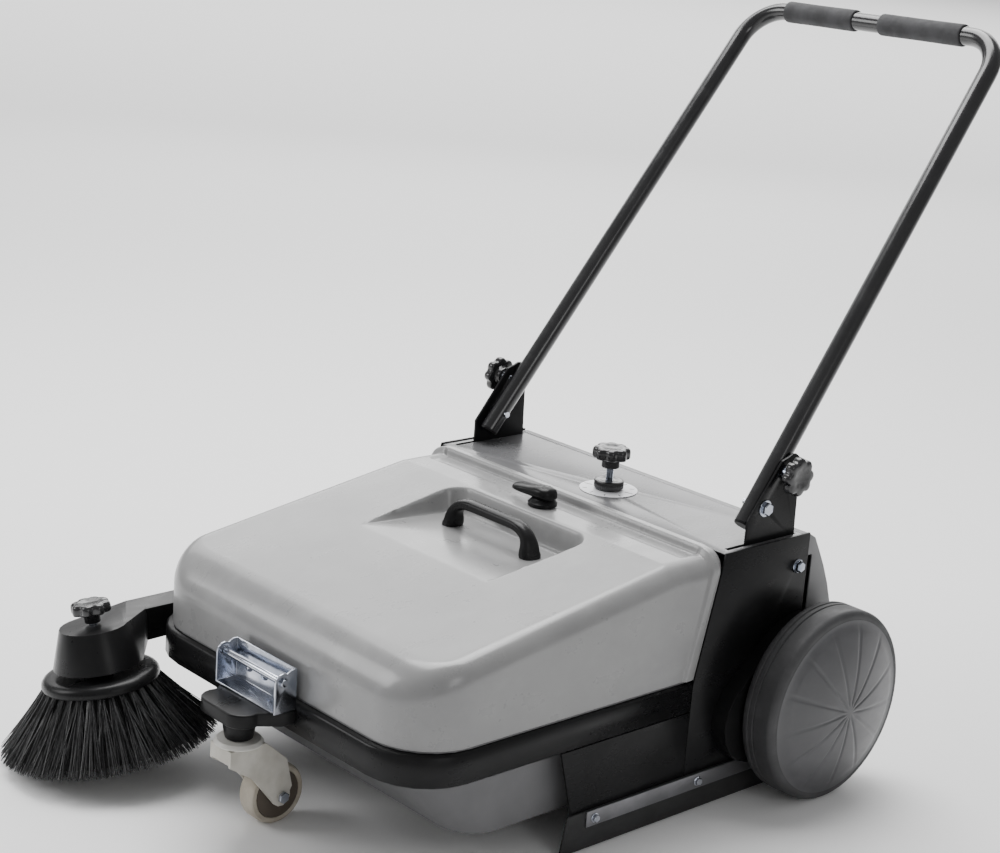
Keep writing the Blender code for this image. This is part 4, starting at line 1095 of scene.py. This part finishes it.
turns = int((screw_high.z - screw_low.z) / thread_pitch)
thread = bmesh.new()
thread_rows = []
for step in range(turns * thread_steps + 1):
    angle = math.tau * step / thread_steps
    height = screw_low.z + 0.0006 + step / thread_steps * thread_pitch
    row = []
    for reach, lift in ((root_reach, -0.30), (thread_reach, -0.12), (thread_reach, 0.12), (root_reach, 0.30)):
        row.append(thread.verts.new((
            screw_middle.x + reach * math.cos(angle), screw_middle.y + reach * math.sin(angle),
            min(height + lift * thread_pitch, screw_high.z),
        )))
    thread_rows.append(row)
bridged(thread, thread_rows)
thread.faces.new(thread_rows[0])
thread.faces.new(thread_rows[-1])
shank = flat_ended([(0.0043, 0.0), (0.0043, screw_high.z - screw_low.z)], 24)
shank.transform(Matrix.Translation((screw_middle.x, screw_middle.y, screw_low.z)))
fit("height_screw_thread", joined([thread, shank]), zinc, "height_knob", ("height_screw",), 30)

nut_low, nut_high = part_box("lock_nut")
nut_tall = nut_high.z - nut_low.z
nut = bmesh.new()
rows = []
for reach, height in nut_rows:
    ring = []
    for angle in around(knurls * 4):
        knurled = 0.1 < height < 0.9 and reach > 0.018
        out = reach - (knurl_depth * (0.5 - 0.5 * math.cos(knurls * angle)) if knurled else 0.0)
        ring.append(nut.verts.new((
            screw_middle.x + out * math.cos(angle), screw_middle.y + out * math.sin(angle),
            nut_low.z + height * nut_tall,
        )))
    rows.append(ring)
bridged(nut, rows + rows[:1])
fit("lock_nut_knurled", nut, knob_black, "lock_nut", ("lock_nut",), 40)

knob_stand = brush_stand @ Matrix.Translation((0, 0, 0.0622))
knob = star_knob(0.0138, 0.0100, 0.0122)
knob.transform(knob_stand)
fit("side_brush_knob_star", knob, knob_black, "side_knob", ("side_brush_knob",), 50)
stud = flat_ended([(0.0046, 0.012), (0.0046, 0.064)], 20)
stud.transform(brush_stand)
fit("side_brush_stud", stud, zinc, "side_knob")


# Handle: one black coated steel tube bent into a U, pivoting on zinc bolts between its brackets,
# with two foam grips pushed on before bending and a plastic plug in each open end.
tube_low, tube_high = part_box("handle_tube")
pivot_y, pivot_z = joint_of["handle_fold"]["pos_m"][1:]
grip_low, grip_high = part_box("grip_left")
bar_y, bar_z = (grip_low.y + grip_high.y) / 2, (grip_low.z + grip_high.z) / 2
tube_reach = 0.0125
bend_reach = 0.055
foot_half, top_half = 0.236, 0.212
tube_middle = (tube_low.x + tube_high.x) / 2
foot_back = 0.0285  # the tube runs on below its pivot

tube_black = moulded(
    "tube_black", (0.009, 0.009, 0.010), (0.014, 0.014, 0.015), (0.18, 0.27), 1000.0, 0.00004, patch=16.0,
    fixed={"Coat Weight": 0.4, "Coat Roughness": 0.12}, dust=0.03,
)
climb = Vector((0, bar_y - pivot_y, bar_z - pivot_z)).normalized()
foot_y, foot_z = pivot_y - climb.y * foot_back, pivot_z - climb.z * foot_back
corners = [
    Vector((tube_middle + foot_half, foot_y, foot_z)),
    Vector((tube_middle + top_half, bar_y, bar_z)),
    Vector((tube_middle - top_half, bar_y, bar_z)),
    Vector((tube_middle - foot_half, foot_y, foot_z)),
]
tube_path = [corners[0]]
for before, corner, after in zip(corners, corners[1:], corners[2:]):
    to_start, to_end = (before - corner).normalized(), (after - corner).normalized()
    half = to_start.angle(to_end) / 2
    middle = corner + (to_start + to_end).normalized() * (bend_reach / math.sin(half))
    start = (corner + to_start * (bend_reach / math.tan(half)) - middle).normalized()
    end = (corner + to_end * (bend_reach / math.tan(half)) - middle).normalized()
    tube_path += [middle + start.slerp(end, k / 16) * bend_reach for k in range(17)]
tube_path.append(corners[3])


def round_section(reach, sides=40):
    return [(reach * math.cos(a), reach * math.sin(a)) for a in around(sides)]


tube = swept(tube_path, lambda k: round_section(tube_reach))
fit("handle_tube_bent", tube, tube_black, "handle", ("handle_tube",), 50)
for hand, foot, above in (("left", corners[0], corners[1]), ("right", corners[3], corners[2])):
    down = (foot - above).normalized()
    plug = turned([(0.0, -0.004), (0.0110, -0.004), (0.0110, 0.0), (0.0122, 0.0003), (0.0122, 0.0016),
                   (0.0110, 0.0026), (0.0, 0.0030)], 32)
    fit(f"tube_plug_{hand}", stood(plug, foot, down), satin_black, "handle")

foam = moulded(
    "foam", (0.040, 0.040, 0.042), (0.062, 0.062, 0.065), (0.78, 0.95), 1600.0, 0.0006, patch=40.0, dust=0.12,
    dust_tone=0.11,
)
for hand in ("left", "right"):
    low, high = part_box(f"grip_{hand}")
    length = high.x - low.x
    reach = (high.z - low.z) / 2
    profile = [(tube_reach + 0.0003, 0.0), (reach - 0.0012, 0.0), (reach - 0.0003, 0.0005), (reach, 0.0018)]
    profile += [(reach - 0.00025 * math.sin(math.pi * k / 12) ** 2, 0.0018 + (length - 0.0036) * k / 12)
                for k in range(1, 12)]
    profile += [(reach, length - 0.0018), (reach - 0.0003, length - 0.0005), (reach - 0.0012, length)]
    profile += [(tube_reach + 0.0003, length)]
    sleeve = stood(turned(profile, 48), (low.x, bar_y, bar_z), (1, 0, 0))
    fit(f"grip_{hand}_sleeve", sleeve, foam, "handle", (f"grip_{hand}",), 50)

for side, hand in ((1, "left"), (-1, "right")):
    node = f"pivot_bolt_{hand}"
    face = inner_x(f"handle_bracket_{hand}", -side)
    shank_length = abs(face - inner_x(node, side))
    shank = flat_ended([(0.0040, -shank_length), (0.0040, 0.0003)], 20)
    head = hex_head(0.0150, 0.0058)
    head.transform(Matrix.Translation((0, 0, 0.0003)))
    bolt = stood(joined([shank, head]), (face, pivot_y, pivot_z), (side, 0, 0))
    fit(f"{node}_hex", bolt, zinc, "handle", (node,), 30)
